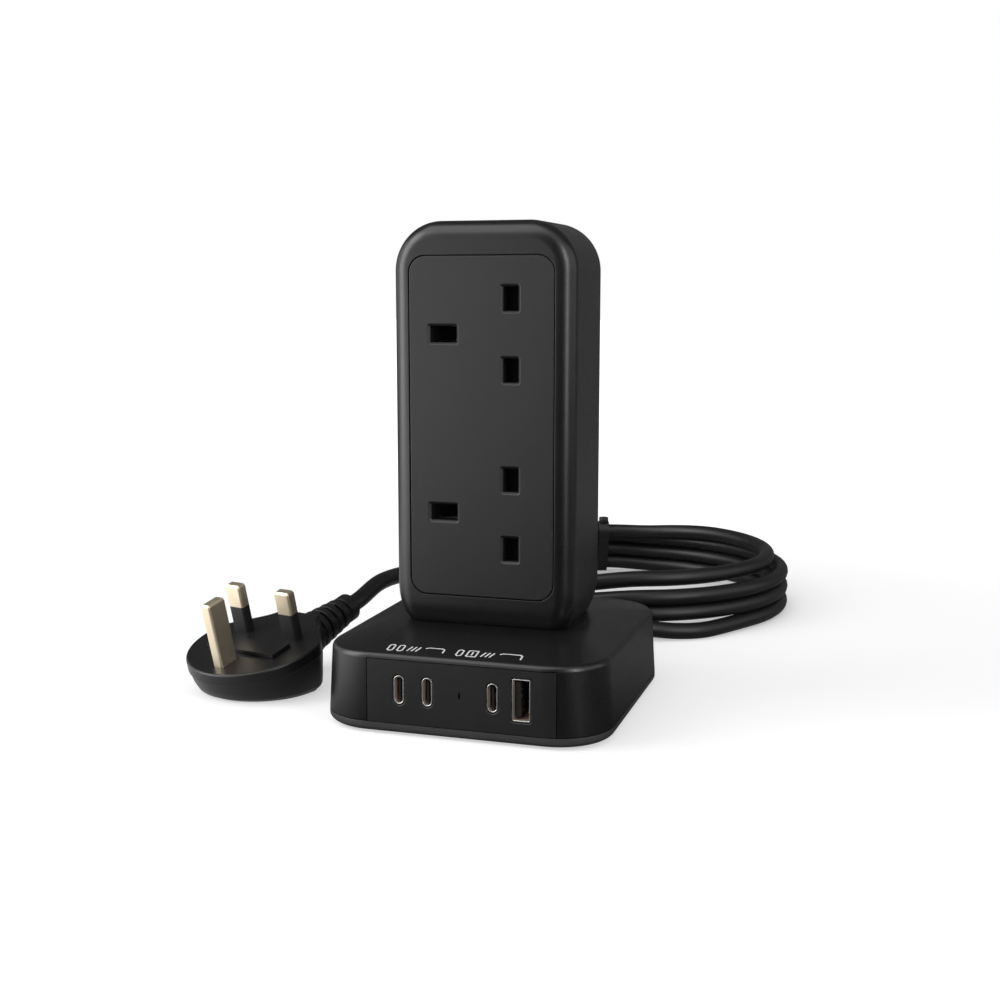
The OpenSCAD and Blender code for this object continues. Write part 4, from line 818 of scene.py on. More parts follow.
def opening(half_w, half_h, r, x, ease):
    """A cutter for a hole in the panel, its mouth rounded by ease."""
    front, steps = -base_front, 5
    turns = [math.pi / 2 * k / steps for k in range(steps, -1, -1)]
    levels = [(front - (panel_t + 1 * mm), 0)]
    levels += [(front - ease * (1 - math.cos(t)), ease * (1 - math.sin(t))) for t in turns]
    levels += [(front + 1 * mm, ease)]
    return stack("opening", half_w, half_h, r, levels, upright(x, port_z), 10)


# Half sizes and corner radius of each kind of receptacle
usb_c, usb_a = (1.65 * mm, 4.5 * mm, 1.64 * mm), (2.85 * mm, 6.55 * mm, 0.5 * mm)
shell_t, port_ease = 0.3 * mm, 0.35 * mm
carve(panel, *[opening(*(size + shell_t for size in usb_c), x, port_ease) for x in usb_c_x],
      opening(*(size + shell_t for size in usb_a), usb_a_x, port_ease),
      opening(0.33 * mm, 1.3 * mm, 0.1 * mm, light_x, 0.06 * mm))
fitted(panel, panel_black, "port_panel")

# Ports: a drawn and nickel-plated steel shell round a moulded tongue that
# carries the contacts. Three small rounded ones and one large square one.


def drawn_metal(name, size, lines, dark, light, streak, rough, depth):
    """Drawn or rolled metal: clouds of tone, and fine lines the way it was drawn."""
    made = Finish(name, Metallic=1.0)
    cloud = made.noise(size * mm, 3.0)
    draw_lines = made.noise(1, 2.0, made.stretched(*lines))
    made.tint = made.between(cloud, dark, light)
    made.feeds("Base Color", made.tint)
    made.feeds("Roughness", draw_lines * streak + cloud * 0.08 + rough)
    made.bumps(draw_lines, depth * mm)
    return made


nickel = drawn_metal("bright_nickel", 1.2, (9000, 300, 2500), (205, 204, 200), (226, 225, 222),
                     0.08, 0.26, 0.006)
# Painted shade: everywhere behind the port shells' front rim (y above -48.2 mm) the nickel is painted darker
# and brown and made less metallic.
port_depth_shade = nickel.axis("Y").above(-0.0482, 0.0006)
nickel.paints(port_depth_shade * 0.75, nickel.tint, (150, 112, 84))
nickel.feeds("Metallic", 1 - port_depth_shade * 0.7)


def sleeve(name, node, half_w, half_h, r, x):
    """A drawn sleeve with a rolled front edge, closed at the back by its board."""
    front, back = -port_y, -port_board_y - 0.02 * mm
    turns, half_t = [math.radians(a) for a in range(0, 181, 20)], shell_t / 2
    roll = [(front - half_t + half_t * math.sin(a), -half_t + (half_t + 0.08 * mm) * math.cos(a))
            for a in turns]
    levels = [(back, 0)] + roll + [(back, -shell_t)]
    fitted(stack(name, half_w, half_h, r, levels, upright(x, port_z), 10, True), nickel, node, 50)


# Flat contact strips in a row along Z
contacts = Recipe("contacts", Count="Int", Pitch="Float", Thickness="Float", Length="Float", Width="Float")
shift = contacts.maths("MULTIPLY", contacts.maths("SUBTRACT", "Count", 1.0), -0.5)
strip_start = contacts.vector(z=contacts.maths("MULTIPLY", shift, "Pitch"))
contacts.ends(
    contacts.step("MeshLine", Count="Count", Start_Location=strip_start, Offset=contacts.vector(z="Pitch")),
    contacts.step("MeshCube", Size=contacts.vector("Thickness", "Length", "Width")))
gilt = mottled("gilt_contact", 0.8, 2.0, (178, 128, 82), (205, 158, 104), 0.15, 0.25, Metallic=1.0)
tongue_black = moulded("tongue_plastic", (16, 15, 15), (24, 22, 21), 0.4, 0.2 * mm, 0.01 * mm)


def tongue(name, node, x0, x1, half_h, ease, count, pitch, width, sides):
    """A flat tongue with its front edges eased, and contact strips on its sides."""
    x, half_t, tip, strip_l = (x0 + x1) / 2, (x1 - x0) / 2, port_y + 1 * mm, 3.2 * mm
    body = stack(name, half_t, half_h, min(ease * 2, half_t * 0.9),
                 [(-port_board_y, 0), (-tip - ease, 0), (-tip - ease * 0.3, -ease * 0.3), (-tip, -ease)],
                 upright(x, port_z), 6)
    fitted(body, tongue_black, node, 35)
    strips = [contacts.grown("strips", gilt, moved(x + side * half_t, tip + 0.5 * mm + strip_l / 2, port_z),
                             Count=count, Pitch=pitch, Thickness=0.05 * mm, Length=strip_l, Width=width)
              for side in sides]
    metal = joined(name + "_contacts", strips)
    covered(metal, gilt)


for number, x in enumerate(usb_c_x, 1):
    sleeve("usb_c_sleeve_%d" % number, "usb_c_shell_%d" % number, *usb_c, x)
    tongue("usb_c_blade_%d" % number, "usb_c_tongue_%d" % number, x - 0.35 * mm, x + 0.35 * mm, 3.35 * mm,
           0.2 * mm, 12, 0.5 * mm, 0.25 * mm, (-1, 1))
sleeve("usb_a_sleeve", "usb_a_shell", *usb_a, usb_a_x)
tongue_x, tongue_t = usb_a_x - 2.1 * mm, 1.84 * mm
tongue("usb_a_blade", "usb_a_tongue", tongue_x, tongue_x + tongue_t, 5.55 * mm,
       0.3 * mm, 4, 2.4 * mm, 1 * mm, (1,))

# Indicator: a smoked acrylic light pipe between the ports, pressed into the
# panel in front of the lamp on the board. It is dark while nothing charges.
smoke = Finish("smoked_acrylic", Roughness=0.12, IOR=1.49)
smoke_cloud = smoke.noise(0.8 * mm, 2.0)
smoke.paints(smoke_cloud, (6, 6, 7), (12, 12, 13))


def eased(name, node, finish, width, body="case"):
    """A constructed solid with its sharp edges broken, as moulding and stamping leave them."""
    piece = copied(node)
    piece.name = name
    rework(piece.data, lambda work: bmesh.ops.dissolve_limit(work, angle_limit=math.radians(2),
                                                             verts=work.verts, edges=work.edges))
    bevel = piece.modifiers.new("edges", "BEVEL")
    bevel.width, bevel.segments, bevel.limit_method = width, 2, "ANGLE"
    bevel.angle_limit = math.radians(32)
    settle(piece)
    return fitted(piece, finish, node, 40, body)


eased("indicator_pipe", "light_pipe", smoke, 0.06 * mm)

# Tower: one moulded shell with rounded edges, drawn in at its foot. A flat
# seat in the front takes the socket plate and one in the back takes the cover.
def draw(z, inwards, rise):
    """How far the tower is drawn in at a height above its foot."""
    r = (rise ** 2 + inwards ** 2) / (2 * inwards)
    h = min(max(0, top_z + rise - z), rise)
    return r - math.sqrt(r * r - h * h)


def tower_ring(z, inset):
    """The tower's outline at a height; it narrows in the round of the top."""
    n = 12
    w, d = tower_w / 2 - inset, tower_d / 2 - inset
    big, r = tower_r - inset, edge_r - inset
    dz = max(0, z - (tower_top - tower_r))
    phi = math.pi / 2 if dz <= big - r else math.acos(min(1, (dz - (big - r)) / r))
    dx, dy = draw(z, foot_in, foot_rise), draw(z, foot_in_y, foot_rise_y)
    quarter = []
    for k in range(n + 1):
        p = phi * k / n
        x = w - big + math.sqrt(max(0, (big - r + r * math.cos(p)) ** 2 - dz * dz)) - dx
        quarter.append((x, d - r + r * math.sin(p) - dy))
    back = quarter[::-1]
    return ([(x, y, z) for x, y in quarter] + [(-x, y, z) for x, y in back]
            + [(-x, -y, z) for x, y in quarter] + [(x, -y, z) for x, y in back])


def tower_solid(name, inset, floor):
    top = tower_top - tower_r
    levels = [floor + (top_z + foot_rise - floor) * k / 16 for k in range(17)] + [top]
    levels += [top + (tower_r - inset) * math.sin(math.radians(3 * k)) for k in range(1, 30)]
    levels += [tower_top - inset - 0.01 * mm]
    return loft(name, [tower_ring(z, inset) for z in levels])


plate_z, plate_half_w, plate_half_h, plate_r = 93 * mm, 23.75 * mm, 54 * mm, 5.3 * mm
plate_gap = 0.3 * mm
face_y, plate_y, ledge_y = -20 * mm, -17 * mm, -15 * mm
tower = tower_solid("tower_moulding", 0, top_z)
room = tower_solid("room", wall, top_z + wall)
carve(room, box("between", (-40 * mm, ledge_y, 0), (40 * mm, 15 * mm, 200 * mm)), operation="INTERSECT")
seat = (plate_half_w + plate_gap, plate_half_h + plate_gap, plate_r + plate_gap)
plate_front, plate_back = upright(0, plate_z), moved(0, 0, plate_z) @ back_way
cover_y, lip_r, plate_edge = 17.5 * mm, 0.16 * mm, 0.3 * mm


def to_face(floor, r, way):
    """Levels from a floor out to the face, ending in a quarter-round rim."""
    turns = [math.radians(a) for a in range(90, -1, -18)]
    return [(floor, 0)] + [(-face_y - r * (1 - math.cos(t)), way * r * (1 - math.sin(t))) for t in turns]


front_seat = stack("seat", *seat, to_face(-plate_y, lip_r, 1) + [(21 * mm, lip_r)], plate_front)
back_seat = stack("seat", *seat, to_face(cover_y, lip_r, 1) + [(21 * mm, lip_r)], plate_back)
carve(tower, room, front_seat, back_seat)
carve(tower, *[stack("window", 21 * mm, 48 * mm, 3 * mm, [(low, 0), (high, 0)], plate_front)
               for low, high in ((14 * mm, 17.5 * mm), (-18 * mm, -14 * mm))],
      rod("wire_hole", wire_hole_r, top_z - 1 * mm, top_z + 4 * mm, moved(0, wire_hole_y, 0)))
bosses = [rod("boss", 3.5 * mm, top_z + wall - 0.1 * mm, top_z + wall + 9 * mm, moved(x, y, 0))
          for x, y in boss_spots]
carve(tower, *bosses, operation="UNION")
fitted(tower, satin_black, "tower_shell")

# Front plate: a flat matt moulding that carries the two sockets. Each has a
# live, a neutral and an earth slot with a bevelled mouth and a collar behind.
face_black = moulded("matt_face_plastic", (17, 17, 18), (25, 25, 26), 0.31, 0.42 * mm, 0.035 * mm)
face = stack("socket_plate", plate_half_w, plate_half_h, plate_r, to_face(-plate_y, plate_edge, -1),
             plate_front)
socket_z = (122.7 * mm, 65.9 * mm)
line_x, earth_x, line_z = 9.665 * mm, -12.565 * mm, 11.115 * mm
slot_mouth = in_mm((14, 0), (19.2, 0), (19.74, 0.46), (19.93, 0.7), (20.01, 0.9), (21, 0.9))
collar = 1.3 * mm
slots = []
for s in socket_z:
    slots += [(2.5 * mm, 3.8 * mm, line_x, s + line_z), (2.5 * mm, 3.8 * mm, line_x, s - line_z),
              (4.4 * mm, 2.6 * mm, earth_x, s)]
carve(face, *[box("collar", (x - a - collar, plate_y - 0.1 * mm, z - b - collar),
                  (x + a + collar, ledge_y, z + b + collar)) for a, b, x, z in slots], operation="UNION")
carve(face, *[stack("slot", a, b, 0.12 * mm, slot_mouth, upright(x, z), 3) for a, b, x, z in slots])
fitted(face, face_black, "front_plate")

# Back cover: the same outline as the front plate, plain, held by four screws
# in round seats.
cover = stack("back_cover_moulding", plate_half_w, plate_half_h, plate_r, to_face(cover_y, plate_edge, -1),
              plate_back)
cover_spots = four(14 * mm, 50.8 * mm)
cuts = []
for x, z in cover_spots:
    at = moved(x, 0, plate_z + z) @ back_way
    cuts += [rod("hole", screw_hole_r, 16 * mm, 21 * mm, at),
             turned("seat", in_mm((0, 18.6), (3, 18.6), (3, 19.8), (3.25, 20.05), (3.25, 21), (0, 21)), at, 48)]
carve(cover, *cuts)
fitted(cover, face_black, "back_cover")
screwed("back_cover_screws", "cover_screws", (5.4, 1.2, 2.4, 6),
        [(x, 19.8 * mm, plate_z + z) for x, z in cover_spots], (0, 1, 0))
screwed("front_plate_screws", "plate_screws", (*small_screw, 3.8),
        [(x, ledge_y + 1.4 * mm, plate_z + z) for x, z in cover_spots], (0, 1, 0))

# Socket carriers: ivory blocks that hold the contacts and guide the shutters.
# They stand on the ledges behind the front plate.
ivory = moulded("ivory_moulding", (214, 209, 196), (228, 224, 213), 0.4, 0.5 * mm, 0.02 * mm)
for which in ("upper", "lower"):
    eased(which + "_socket_block", which + "_carrier", ivory, 0.2 * mm)
screwed("socket_block_screws", "carrier_screws", (*small_screw, 22.5),
        [(q * 23.2 * mm, 7.4 * mm, s + q * 21.3 * mm) for s in socket_z for q in (-1, 1)], (0, 1, 0))

# Shutters: sliders that close the live and neutral slots until the earth
# pin pushes their ramp aside. A small coil spring brings each one back.
# Their grey plastic is painted almost black: painted shade for the dark
# inside of the slots.
# Painted shade: the sliders' colour is near black so that the slots look dark inside.
shutter_shade_black = moulded("shutter_plastic", (5, 5, 6), (9, 9, 10), 0.7, 0.35 * mm, 0.015 * mm, 0.2)
for which in ("upper", "lower"):
    eased(which + "_slider", which + "_shutter", shutter_shade_black, 0.12 * mm, which + "_shutter_body")
x0, x1, spring_y, spring_r, steps = -6.015 * mm, 5.215 * mm, -11.2 * mm, 1.2 * mm, 7 * 20
for which, s in zip(("upper", "lower"), socket_z):
    wire = [Vector((x0 + 0.25 * mm + (x1 - x0 - 0.5 * mm) * k / steps,
                    spring_y + spring_r * math.cos(math.pi * k / 10),
                    s + spring_r * math.sin(math.pi * k / 10))) for k in range(steps + 1)]
    spring = tube(which + "_return_spring", wire, 0.2 * mm, 8)
    shade(spring, 60)
    covered(spring, zinc)
    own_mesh(spring)
    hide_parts(which + "_spring")

# Circuit boards: one upright behind the ports and one flat on standoffs, both
# glass-epoxy laminate under a green mask, with a plug-in link between them.
mask = Finish("green_board_mask", Coat_Weight=0.4)
mask_cloud = mask.noise(4 * mm, 3.0)
mask_weave = mask.waves("DIAGONAL", 900.0, 1.5)
tracks = mask.node("ShaderNodeTexVoronoi", {"distance": "MANHATTAN"}, Vector=mask.place, Scale=420.0)
tracks = tracks.above(0.34, 0.06)
mask.paints(tracks * 0.6 + mask_cloud * 0.4, (14, 58, 38), (24, 84, 54))
mask.feeds("Roughness", mask_cloud * 0.1 + 0.3)
mask.bumps(tracks * 0.8 + mask_weave * 0.2, 0.03 * mm)
for which in ("port", "power"):
    eased(which + "_circuit_board", which + "_board", mask, 0.1 * mm)
eased("board_header", "board_link", tongue_black, 0.2 * mm)
board_top = 10.4 * mm
screwed("board_fixing_screws", "board_screws", (*small_screw, 3.6),
        [(x, y, board_top + 1.4 * mm) for x, y in four(25 * mm, 16 * mm, -14.4 * mm)], (0, 0, 1))

# Transformer: two ferrite core halves round a taped winding on a bobbin.
ferrite = mottled("grey_ferrite", 0.8, 4.0, (52, 52, 54), (74, 74, 76), 0.2, 0.5, 0.05)
tape = Finish("yellow_winding_tape")
tape_edge = tape.waves("Z", 180.0, 0.6)
tape_cloud = tape.noise(1.5 * mm, 2.0)
tape_mix = tape_edge * 0.7 + tape_cloud * 0.3
tape.paints(tape_mix, (196, 150, 40), (226, 184, 66))
tape.feeds("Roughness", tape_cloud * 0.15 + 0.3)
tape.bumps(tape_edge, 0.05 * mm)
coil_at = moved(-13 * mm, -21 * mm, board_top)
core = stack("transformer_core", 8.4 * mm, 8.5 * mm, 0.5 * mm,
             in_mm((2.75, -0.3), (3.05, 0), (10.7, 0), (11, -0.3)), coil_at, 4)
carve(core, stack("window", 5.4 * mm, 9 * mm, 0.5 * mm, [(4.6 * mm, 0), (12 * mm, 0)], coil_at, 4))
fitted(core, ferrite, "transformer")
winding = stack("transformer_winding", 10 * mm, 7 * mm, 2.4 * mm,
                in_mm((0, -0.4), (0.4, 0), (2.35, 0), (2.75, -0.4), (2.75, -1.2), (3.2, -1), (8.6, -1),
                      (9, -1.4)), coil_at, 8)
shade(winding, 30)
covered(winding, tape)

# Capacitors: aluminium cans in a dark sleeve, rolled in above their base and
# scored across the top.
can_sleeve = mottled("capacitor_sleeve", 3, 2.0, (24, 28, 44), (34, 38, 58), 0.1, 0.28, 0.02,
                     Coat_Weight=0.3)
for number, (x, y, r, h) in enumerate(((12, -24, 5, 11), (13, -10, 4, 10)), 1):
    can = turned("capacitor_%d_can" % number, in_mm(
        (0, 0), (r - 0.5, 0), (r - 0.15, 0.15), (r, 0.5), (r, 1.4), (r - 0.4, 1.8), (r - 0.4, 2), (r, 2.4),
        (r, h - 0.5), (r - 0.15, h - 0.15), (r - 0.5, h), (r - 1, h), (r - 1.1, h - 0.15), (0, h - 0.15)),
        moved(x * mm, y * mm, board_top), 48)
    fitted(can, can_sleeve, "capacitor_%d" % number, 50)

# Cord clamp: a saddle across the lead just inside the gland, pulled down by
# two screws.
eased("lead_clamp_bar", "cord_clamp", tongue_black, 0.2 * mm)
screwed("lead_clamp_screws", "clamp_screws", (*small_screw, 5.6),
        [(x, 40.5 * mm, 19.2 * mm) for x in (8.5 * mm, 23.5 * mm)], (0, 0, 1))

# Contact bars: live, neutral and earth strips of brass behind the carriers,
# with sprung clips bent forward for the pins.
brass = drawn_metal("rolled_brass", 3, (2500, 2500, 160), (190, 158, 96), (216, 186, 122), 0.14, 0.2, 0.01)
for node in ("live_bar", "neutral_bar", "earth_bar"):
    eased(node + "_strip", node, brass, 0.1 * mm)

# Inner wires: stranded copper in soft insulation, brown, blue, and green with
# a yellow stripe.
cores = {
    "live": ("wire_brown", (84, 46, 28), (104, 60, 38), [
        (17.65, 34, 12.95), (15.5, 27, 16), (9, 16, 21), (3.8, 11.2, 27), (3.8, 11, 34), (5, 11.5, 40),
        (9, 12, 50), (14.4, 12, 62), (15.9, 11.4, 71), (15.9, 9.4, 77.4), (15.9, 6.8, 79)]),
    "neutral": ("wire_blue", (34, 74, 168), (48, 92, 190), [
        (14.35, 34, 12.95), (11, 27, 15), (4.5, 17.5, 20), (0.2, 13.2, 27), (0.2, 13, 34), (2, 12, 44),
        (3.4, 11.5, 50), (3.5, 9.6, 55.4), (3.5, 6.8, 57)]),
    "earth": ("wire_green", (68, 138, 46), (206, 190, 46), [
        (16, 34, 10.1), (12, 26, 12), (3, 14.5, 19), (-3.5, 9.5, 27), (-4.5, 9.6, 34), (-6.5, 10.4, 42),
        (-10.5, 11.6, 54), (-12.4, 11.4, 62), (-12.6, 9.4, 67.4), (-12.6, 6.8, 69)])}
for core_name, (slot, dark, light, route) in cores.items():
    insulation = mottled(core_name + "_insulation", 2, 2.0, dark, light, 0.12, 0.34, 0.03)
    if core_name == "earth":
        along, turn = insulation.along_and_round()
        stripe = (turn * (2 * math.pi) + along * 90).sine().above(0.55, 0.1)
        insulation.paints(stripe, dark, light)
    wire = tube(core_name + "_core", smooth_line([Vector(p) * mm for p in route], 6), 1.1 * mm, 14)
    fitted(wire, insulation, core_name + "_wire", 60)

# Plug: one moulding, flat on its pin face and wedge-shaped behind, so that it
# lies on its back with its pins up.
plug_w, plug_front, plug_round, neck_w = 48 * mm, 31 * mm, 24 * mm, 17 * mm
plug_waist, plug_tilt, plug_h, plug_lift = 3 * mm, math.radians(14), 18 * mm, 0.02 * mm


def plug_depth(y):
    return (plug_h - plug_lift + y * math.sin(plug_tilt)) / math.cos(plug_tilt)


def plug_half(y):
    c, waist = plug_round - plug_front, plug_w / 2
    if y < c:
        return waist * math.sqrt(max(0, 1 - ((y - c) / plug_round) ** 2))
    return waist + (neck_w / 2 - waist) * soft((y + plug_waist) / (plug_back + plug_waist))


def plug_ring(inset, down, share):
    """A level of the plug, down below its face and then a share of what is left."""
    c, n, side = plug_round - plug_front, 44, []
    for k in range(n + 1):
        y = c - plug_round * math.cos(math.pi * k / n) if k <= n / 2 else c + (plug_back - c) * (2 * k / n - 1)
        side.append((0 if k == 0 else plug_half(y), y))
    k = 1 - inset / (plug_w / 2)
    return [plug_place @ Vector((x * k, c + (y - c) * k, -down - share * (plug_depth(c + (y - c) * k) - down)))
            for x, y in side + [(-x, y) for x, y in side[:0:-1]]]


levels = [(4.6, 4.4, 1), (4.1, 4.4, 0.9456), (3.4, 4.4, 0.9168), (2.7, 4.4, 0.864), (2.2, 4.4, 0.8064),
          (1.5, 4.4, 0.5952), (1.0, 4.4, 0.4032), (0.5, 4.4, 0.06), (0.42, 4.4, 0), (0.1, 4.1, 0), (0, 3.9, 0)]
for degrees in range(90, -1, -15):
    a = math.radians(degrees)
    levels.append((0.9 * (1 - math.sin(a)), 0.9 * (1 - math.cos(a)), 0))
plug = loft("plug_moulding", [plug_ring(i * mm, d * mm, s) for i, d, s in levels])


def pit(x, y, half_x, half_y, floor):
    """A cutter for a square hole in the pin face."""
    piece = box("pit", (x - half_x, y - half_y, floor), (x + half_x, y + half_y, 1 * mm))
    piece.data.transform(plug_place)
    return piece


pin_x, earth_y, fit = 11.115 * mm, -22.23 * mm, 0.05 * mm
blade, root, earth_blade = (3.175 * mm, 1.985 * mm), (2.6 * mm, 1.45 * mm), (1.985 * mm, 3.96 * mm)
fuse_y, fuse_z = -10.7 * mm, -4.925 * mm
cuts = [pit(x, 0, root[0] + fit, root[1] + fit, -6.05 * mm) for x in (-pin_x, pin_x)]
cuts += [pit(0, earth_y, earth_blade[0] + fit, earth_blade[1] + fit, -6.05 * mm),
         pit(0, fuse_y, 15.3 * mm, 4.9 * mm, -8.7 * mm),
         rod("root", 4.35 * mm, 13 * mm, 20 * mm, plug_place @ moved(0, 0, -relief_drop) @ back_way)]
carve(plug, *cuts)
plug_black = moulded("plug_plastic", (14, 14, 15), (20, 20, 21), 0.28, 0.4 * mm, 0.02 * mm)
fitted(plug, plug_black, "plug_body")

# Plug relief: rubber moulded round the lead in rings that are bridged in turn
# above and beside it, so that it bends evenly. It ends in a plain collar.
relief_place = plug_place @ moved(0, plug_back, -relief_drop) @ back_way
relief_core = turned("relief_core", in_mm(
    (0, -5), (4.3, -5), (4.3, 21.2), (5, 21.2), (5.25, 21.5), (5.25, 25.5), (4.9, 26), (0, 26)), relief_place)
ring_count, ring_step, ring_w, ring_round = 5, 4.2 * mm, 2.6 * mm, 0.35 * mm
ring_first, ring_last = 7.5 * mm, 5.25 * mm
relief_rings = ribs.grown("relief_rings", rubber, relief_place, Count=ring_count, Start=0.0, Pitch=ring_step,
                          Width=ring_w, First=ring_first, Last=ring_last, Bore=4 * mm, Round=ring_round)
bridges = []
for k in range(ring_count):
    r = ring_first - (ring_first - ring_last) * (k + 1) / ring_count - ring_round
    low = ring_step * k + ring_w - 0.3 * mm
    for side in (0, 180):
        bridge = box("bridge", (3.5 * mm, -1.9 * mm, low), (r, 1.9 * mm, low + 2.2 * mm))
        bridge.data.transform(relief_place @ tipped(side + 90 * (k % 2), "Z"))
        bridges.append(bridge)
relief = joined("plug_relief_rings", [relief_core, relief_rings] + bridges)
fitted(relief, rubber, "plug_relief", 40)

# Pins: solid brass with a pale plating, their tips bevelled. Black sleeves
# shrunk into a step cover the roots of the live and neutral pins.
plated = drawn_metal("champagne_plated_brass", 2.5, (3000, 3000, 250), (222, 206, 178), (238, 225, 201),
                     0.12, 0.32, 0.015)


def pin(which, half_x, half_y, x, y, z0, z1):
    """A pin with a bevelled tip, and a thinner root where it starts above the face."""
    levels = [(z0, -0.1 * mm), (z0 + 0.1 * mm, 0), (z1 - 1 * mm, 0), (z1 - 0.12 * mm, -0.5 * mm),
              (z1, -0.7 * mm)]
    at = plug_place @ moved(x, y, 0)
    piece = stack(which + "_blade", half_x, half_y, 0.8 * mm, levels, at, 5)
    if z0 > 0:
        inner = stack("root", *root, 0.2 * mm, [(-6 * mm, 0), (z0 + 0.5 * mm, 0)], at, 3)
        carve(piece, inner, operation="UNION")
    return fitted(piece, plated, which + "_pin")


pins = [pin("live", *blade, pin_x, 0, 9.5 * mm, 17.7 * mm),
        pin("neutral", *blade, -pin_x, 0, 9.5 * mm, 17.7 * mm),
        pin("earth", *earth_blade, 0, earth_y, -6 * mm, 22.7 * mm)]
sleeves = []
for x in (-pin_x, pin_x):
    at = plug_place @ moved(x, 0, 0)
    piece = stack("sleeve", *blade, 0.8 * mm, [(0, 0), (9.4 * mm, 0), (9.5 * mm, -0.1 * mm)], at, 5)
    bore = stack("bore", root[0] + fit, root[1] + fit, 0.2 * mm, [(-1 * mm, 0), (11 * mm, 0)], at, 3)
    sleeves.append(carve(piece, bore))
sleeve_pair = joined("pin_sleeve_pair", sleeves)
fitted(sleeve_pair, tongue_black, "pin_sleeves")

# Fuse: a ceramic cartridge with plated end caps, clipped in a carrier that
# lifts out of the plug's face between the pins.
carrier = eased("plug_fuse_tray", "fuse_carrier", plug_black, 0.25 * mm, "fuse_holder")
fuse_r, fuse_l, cap_l = 3.175 * mm, 25.4 * mm, 6 * mm
fuse_way = plug_place @ moved(-fuse_l / 2, fuse_y, fuse_z) @ tipped(90, "Y")
ceramic = mottled("fuse_ceramic", 1.5, 3.0, (222, 218, 208), (236, 233, 226), 0.15, 0.3, 0.03,
                  Coat_Weight=0.2)
barrel = rod("fuse_barrel", 2.95 * mm, 0.3 * mm, fuse_l - 0.3 * mm, fuse_way, 40)
shade(barrel, 40)
covered(barrel, ceramic, "fuse_holder")
caps = joined("fuse_caps", [rod("cap", fuse_r, z, z + cap_l, fuse_way, 40, 0.2 * mm)
                            for z in (0, fuse_l - cap_l)])
fitted(caps, nickel, "fuse", 40, "fuse_holder")
springs = eased("fuse_seats", "fuse_contacts", brass, 0.1 * mm)

# Tie: a coated wire strap round the coil, twisted together on top.
tie = eased("coil_tie_strap", "coil_tie", rubber, 0.15 * mm)

# Room: a white floor and surround, and three soft lights. Gloss sees grey
# cards of painted shade, lighter to the right, and, for the floor, one with
# painted light that glows on the left and painted shade elsewhere; these
# shape the black.
def seen_ray(nodes, links):
    """1 for rays of the camera, of gloss and through glass, 0 for the rest."""
    path = nodes.new("ShaderNodeLightPath")
    share = path.outputs["Is Camera Ray"]
    for ray in ("Is Glossy Ray", "Is Transmission Ray"):
        larger = nodes.new("ShaderNodeMath")
        larger.operation = "MAXIMUM"
        links.new(share, larger.inputs[0])
        links.new(path.outputs[ray], larger.inputs[1])
        share = larger.outputs[0]
    return share


def mixed(nodes, links, share, low, high, output):
    mix = nodes.new("ShaderNodeMixShader")
    for value, socket in zip((share, low, high), mix.inputs):
        links.new(value, socket)
    links.new(mix.outputs[0], output.inputs["Surface"])


def sheet(name, corners, finish, *hidden):
    """A flat piece of the room, hidden from some kinds of light ray."""
    piece = new_piece(name, corners, [(0, 1, 2, 3)])
    piece.data.materials.append(finish.material)
    for kind in hidden:
        setattr(piece, "visible_" + kind, False)


floor_finish = Finish("white_floor", Roughness=0.7, Specular_IOR_Level=0.2)
floor_cloud = floor_finish.noise(0.3, 2.0)
floor_finish.paints(floor_cloud, (243, 243, 243), (246, 246, 246))
glow = floor_finish.nodes.new("ShaderNodeEmission")
glow.inputs["Strength"].default_value = 1.35
apart = floor_finish.node("ShaderNodeVectorMath", {"operation": "LENGTH"}, floor_finish.place, output="Value")
ringed = floor_finish.node("ShaderNodeVectorMath", {"operation": "DISTANCE"}, floor_finish.place,
                           (*coil_c, 0.0), output="Value").above(coil_r, 0.02)
seen = Field(floor_finish, seen_ray(floor_finish.nodes, floor_finish.links))
glow_share = seen * ringed * (apart.above(0.42, 0.4) * 0.6 + 0.4)
mixed(floor_finish.nodes, floor_finish.links, glow_share.socket, floor_finish.shader.outputs[0],
      glow.outputs[0], floor_finish.nodes["Material Output"])
sheet("floor", [(-6, -6, 0), (6, -6, 0), (6, 6, 0), (-6, 6, 0)], floor_finish, "glossy")
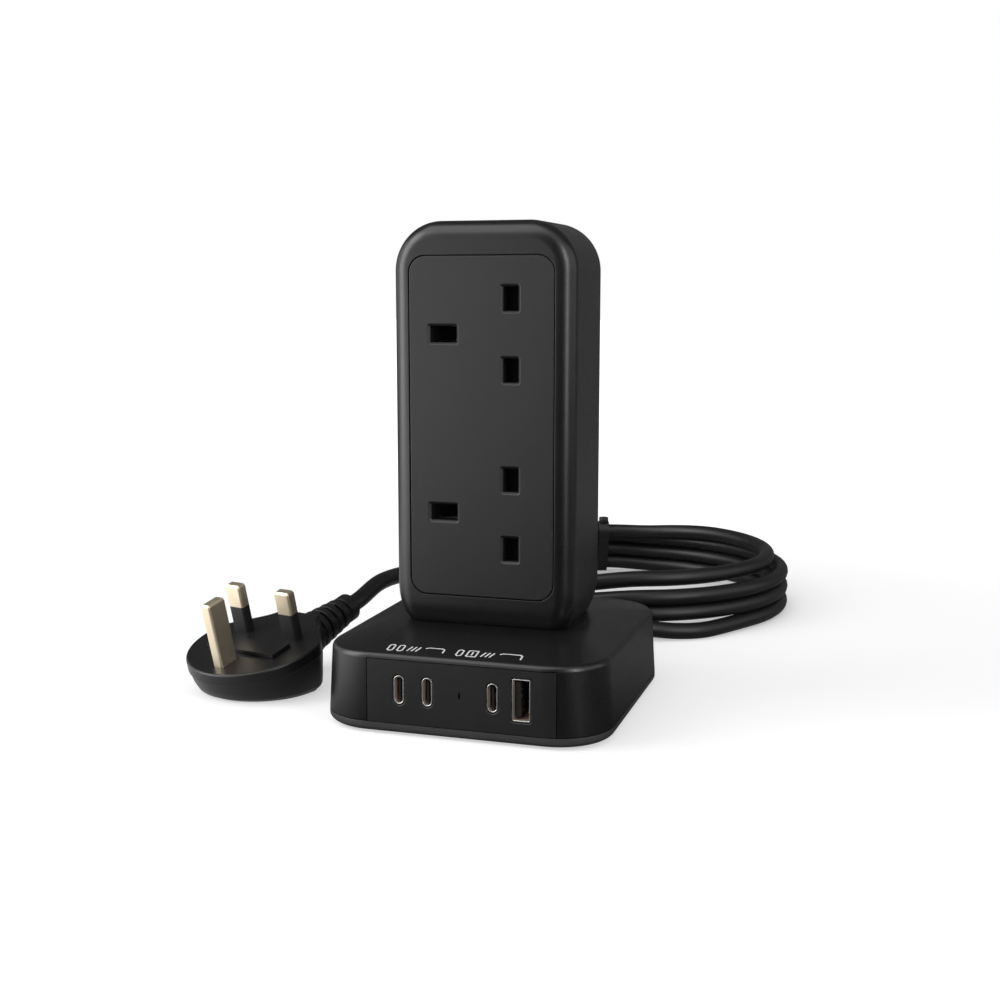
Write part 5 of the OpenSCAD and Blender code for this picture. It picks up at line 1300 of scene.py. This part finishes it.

# Painted shade seen only in gloss: grey cards, painted lighter towards the right.
card_finish = Finish("grey_card", Roughness=0.9, Specular_IOR_Level=0.1)
painted_light_rightwards = card_finish.axis("X").above(-0.2, 0.3)
card_finish.paints(painted_light_rightwards, (84, 84, 84), (106, 106, 106))
# Painted light and shade, seen only in gloss: a glowing lit patch on the left of this card, and painted grey
# shade elsewhere.
sweep_finish = Finish("shaded_sweep", Roughness=0.9, Specular_IOR_Level=0.1)
across_x, across_y = sweep_finish.axis("X"), sweep_finish.axis("Y")
lit = (1 - ((across_x - 0.066) / (0.7 - across_y)).above(-0.237, 0.25)) * (1 - across_y.above(0.05, 0.4))
unlit_tone = sweep_finish.between(across_y.above(0.03, 0.16), (24, 24, 24), (165, 165, 165))
sweep_finish.paints(lit, unlit_tone, (250, 250, 250))
far = 1 - across_y.above(-0.2, 0.5) * 0.5
sweep_finish.feeds("Emission Color", sweep_finish.between(lit * far, (0, 0, 0), (255, 255, 255)))
sweep_finish.shader.inputs["Emission Strength"].default_value = 2.8
unseen = ("camera", "diffuse", "shadow", "transmission")
sheet("floor_card", [(-2, -2, -0.002), (2, -2, -0.002), (2, 2, -0.002), (-2, 2, -0.002)], sweep_finish, *unseen)
sheet("rear_card", [(-1.6, 0.8, 0), (1.2, 0.8, 0), (1.2, 0.8, 0.85), (-1.6, 0.8, 0.85)], card_finish, *unseen)
sheet("front_card", [(-0.2, -1.05, 0), (0.8, -1.05, 0), (0.8, -1.05, 1.5), (-0.2, -1.05, 1.5)],
      card_finish, *unseen)
sheet("high_card", [(-1.6, 0.8, 0.85), (1.2, 0.8, 0.85), (1.2, -0.05, 1.35), (-1.6, -0.05, 1.35)],
      card_finish, *unseen)

world = bpy.data.worlds.new("surround")
scene.world = world
world.use_nodes = True
nodes, links = world.node_tree.nodes, world.node_tree.links
nodes.clear()
backgrounds = []
for strength in (0.42, 1.0):
    background = nodes.new("ShaderNodeBackground")
    background.inputs["Color"].default_value = (1, 1, 1, 1)
    background.inputs["Strength"].default_value = strength
    backgrounds.append(background.outputs[0])
mixed(nodes, links, seen_ray(nodes, links), *backgrounds, nodes.new("ShaderNodeOutputWorld"))


def softbox(name, place, aim, width, height, watts):
    data = bpy.data.lights.new(name, "AREA")
    data.shape, data.size, data.size_y, data.energy = "RECTANGLE", width, height, watts
    lamp = added(name, data)
    lamp.location = place
    lamp.rotation_euler = (Vector(aim) - Vector(place)).to_track_quat("-Z", "Y").to_euler()


softbox("left_light", (-0.84, -0.45, 0.44), (0, 0, 0.08), 0.6, 0.9, 7)
softbox("top_light", (-0.35, -0.45, 1.1), (0, 0, 0.05), 1.2, 1.0, 5.5)
softbox("right_light", (0.85, -0.55, 0.35), (0, 0, 0.08), 0.25, 0.9, 4)

scene.view_settings.view_transform = "Standard"
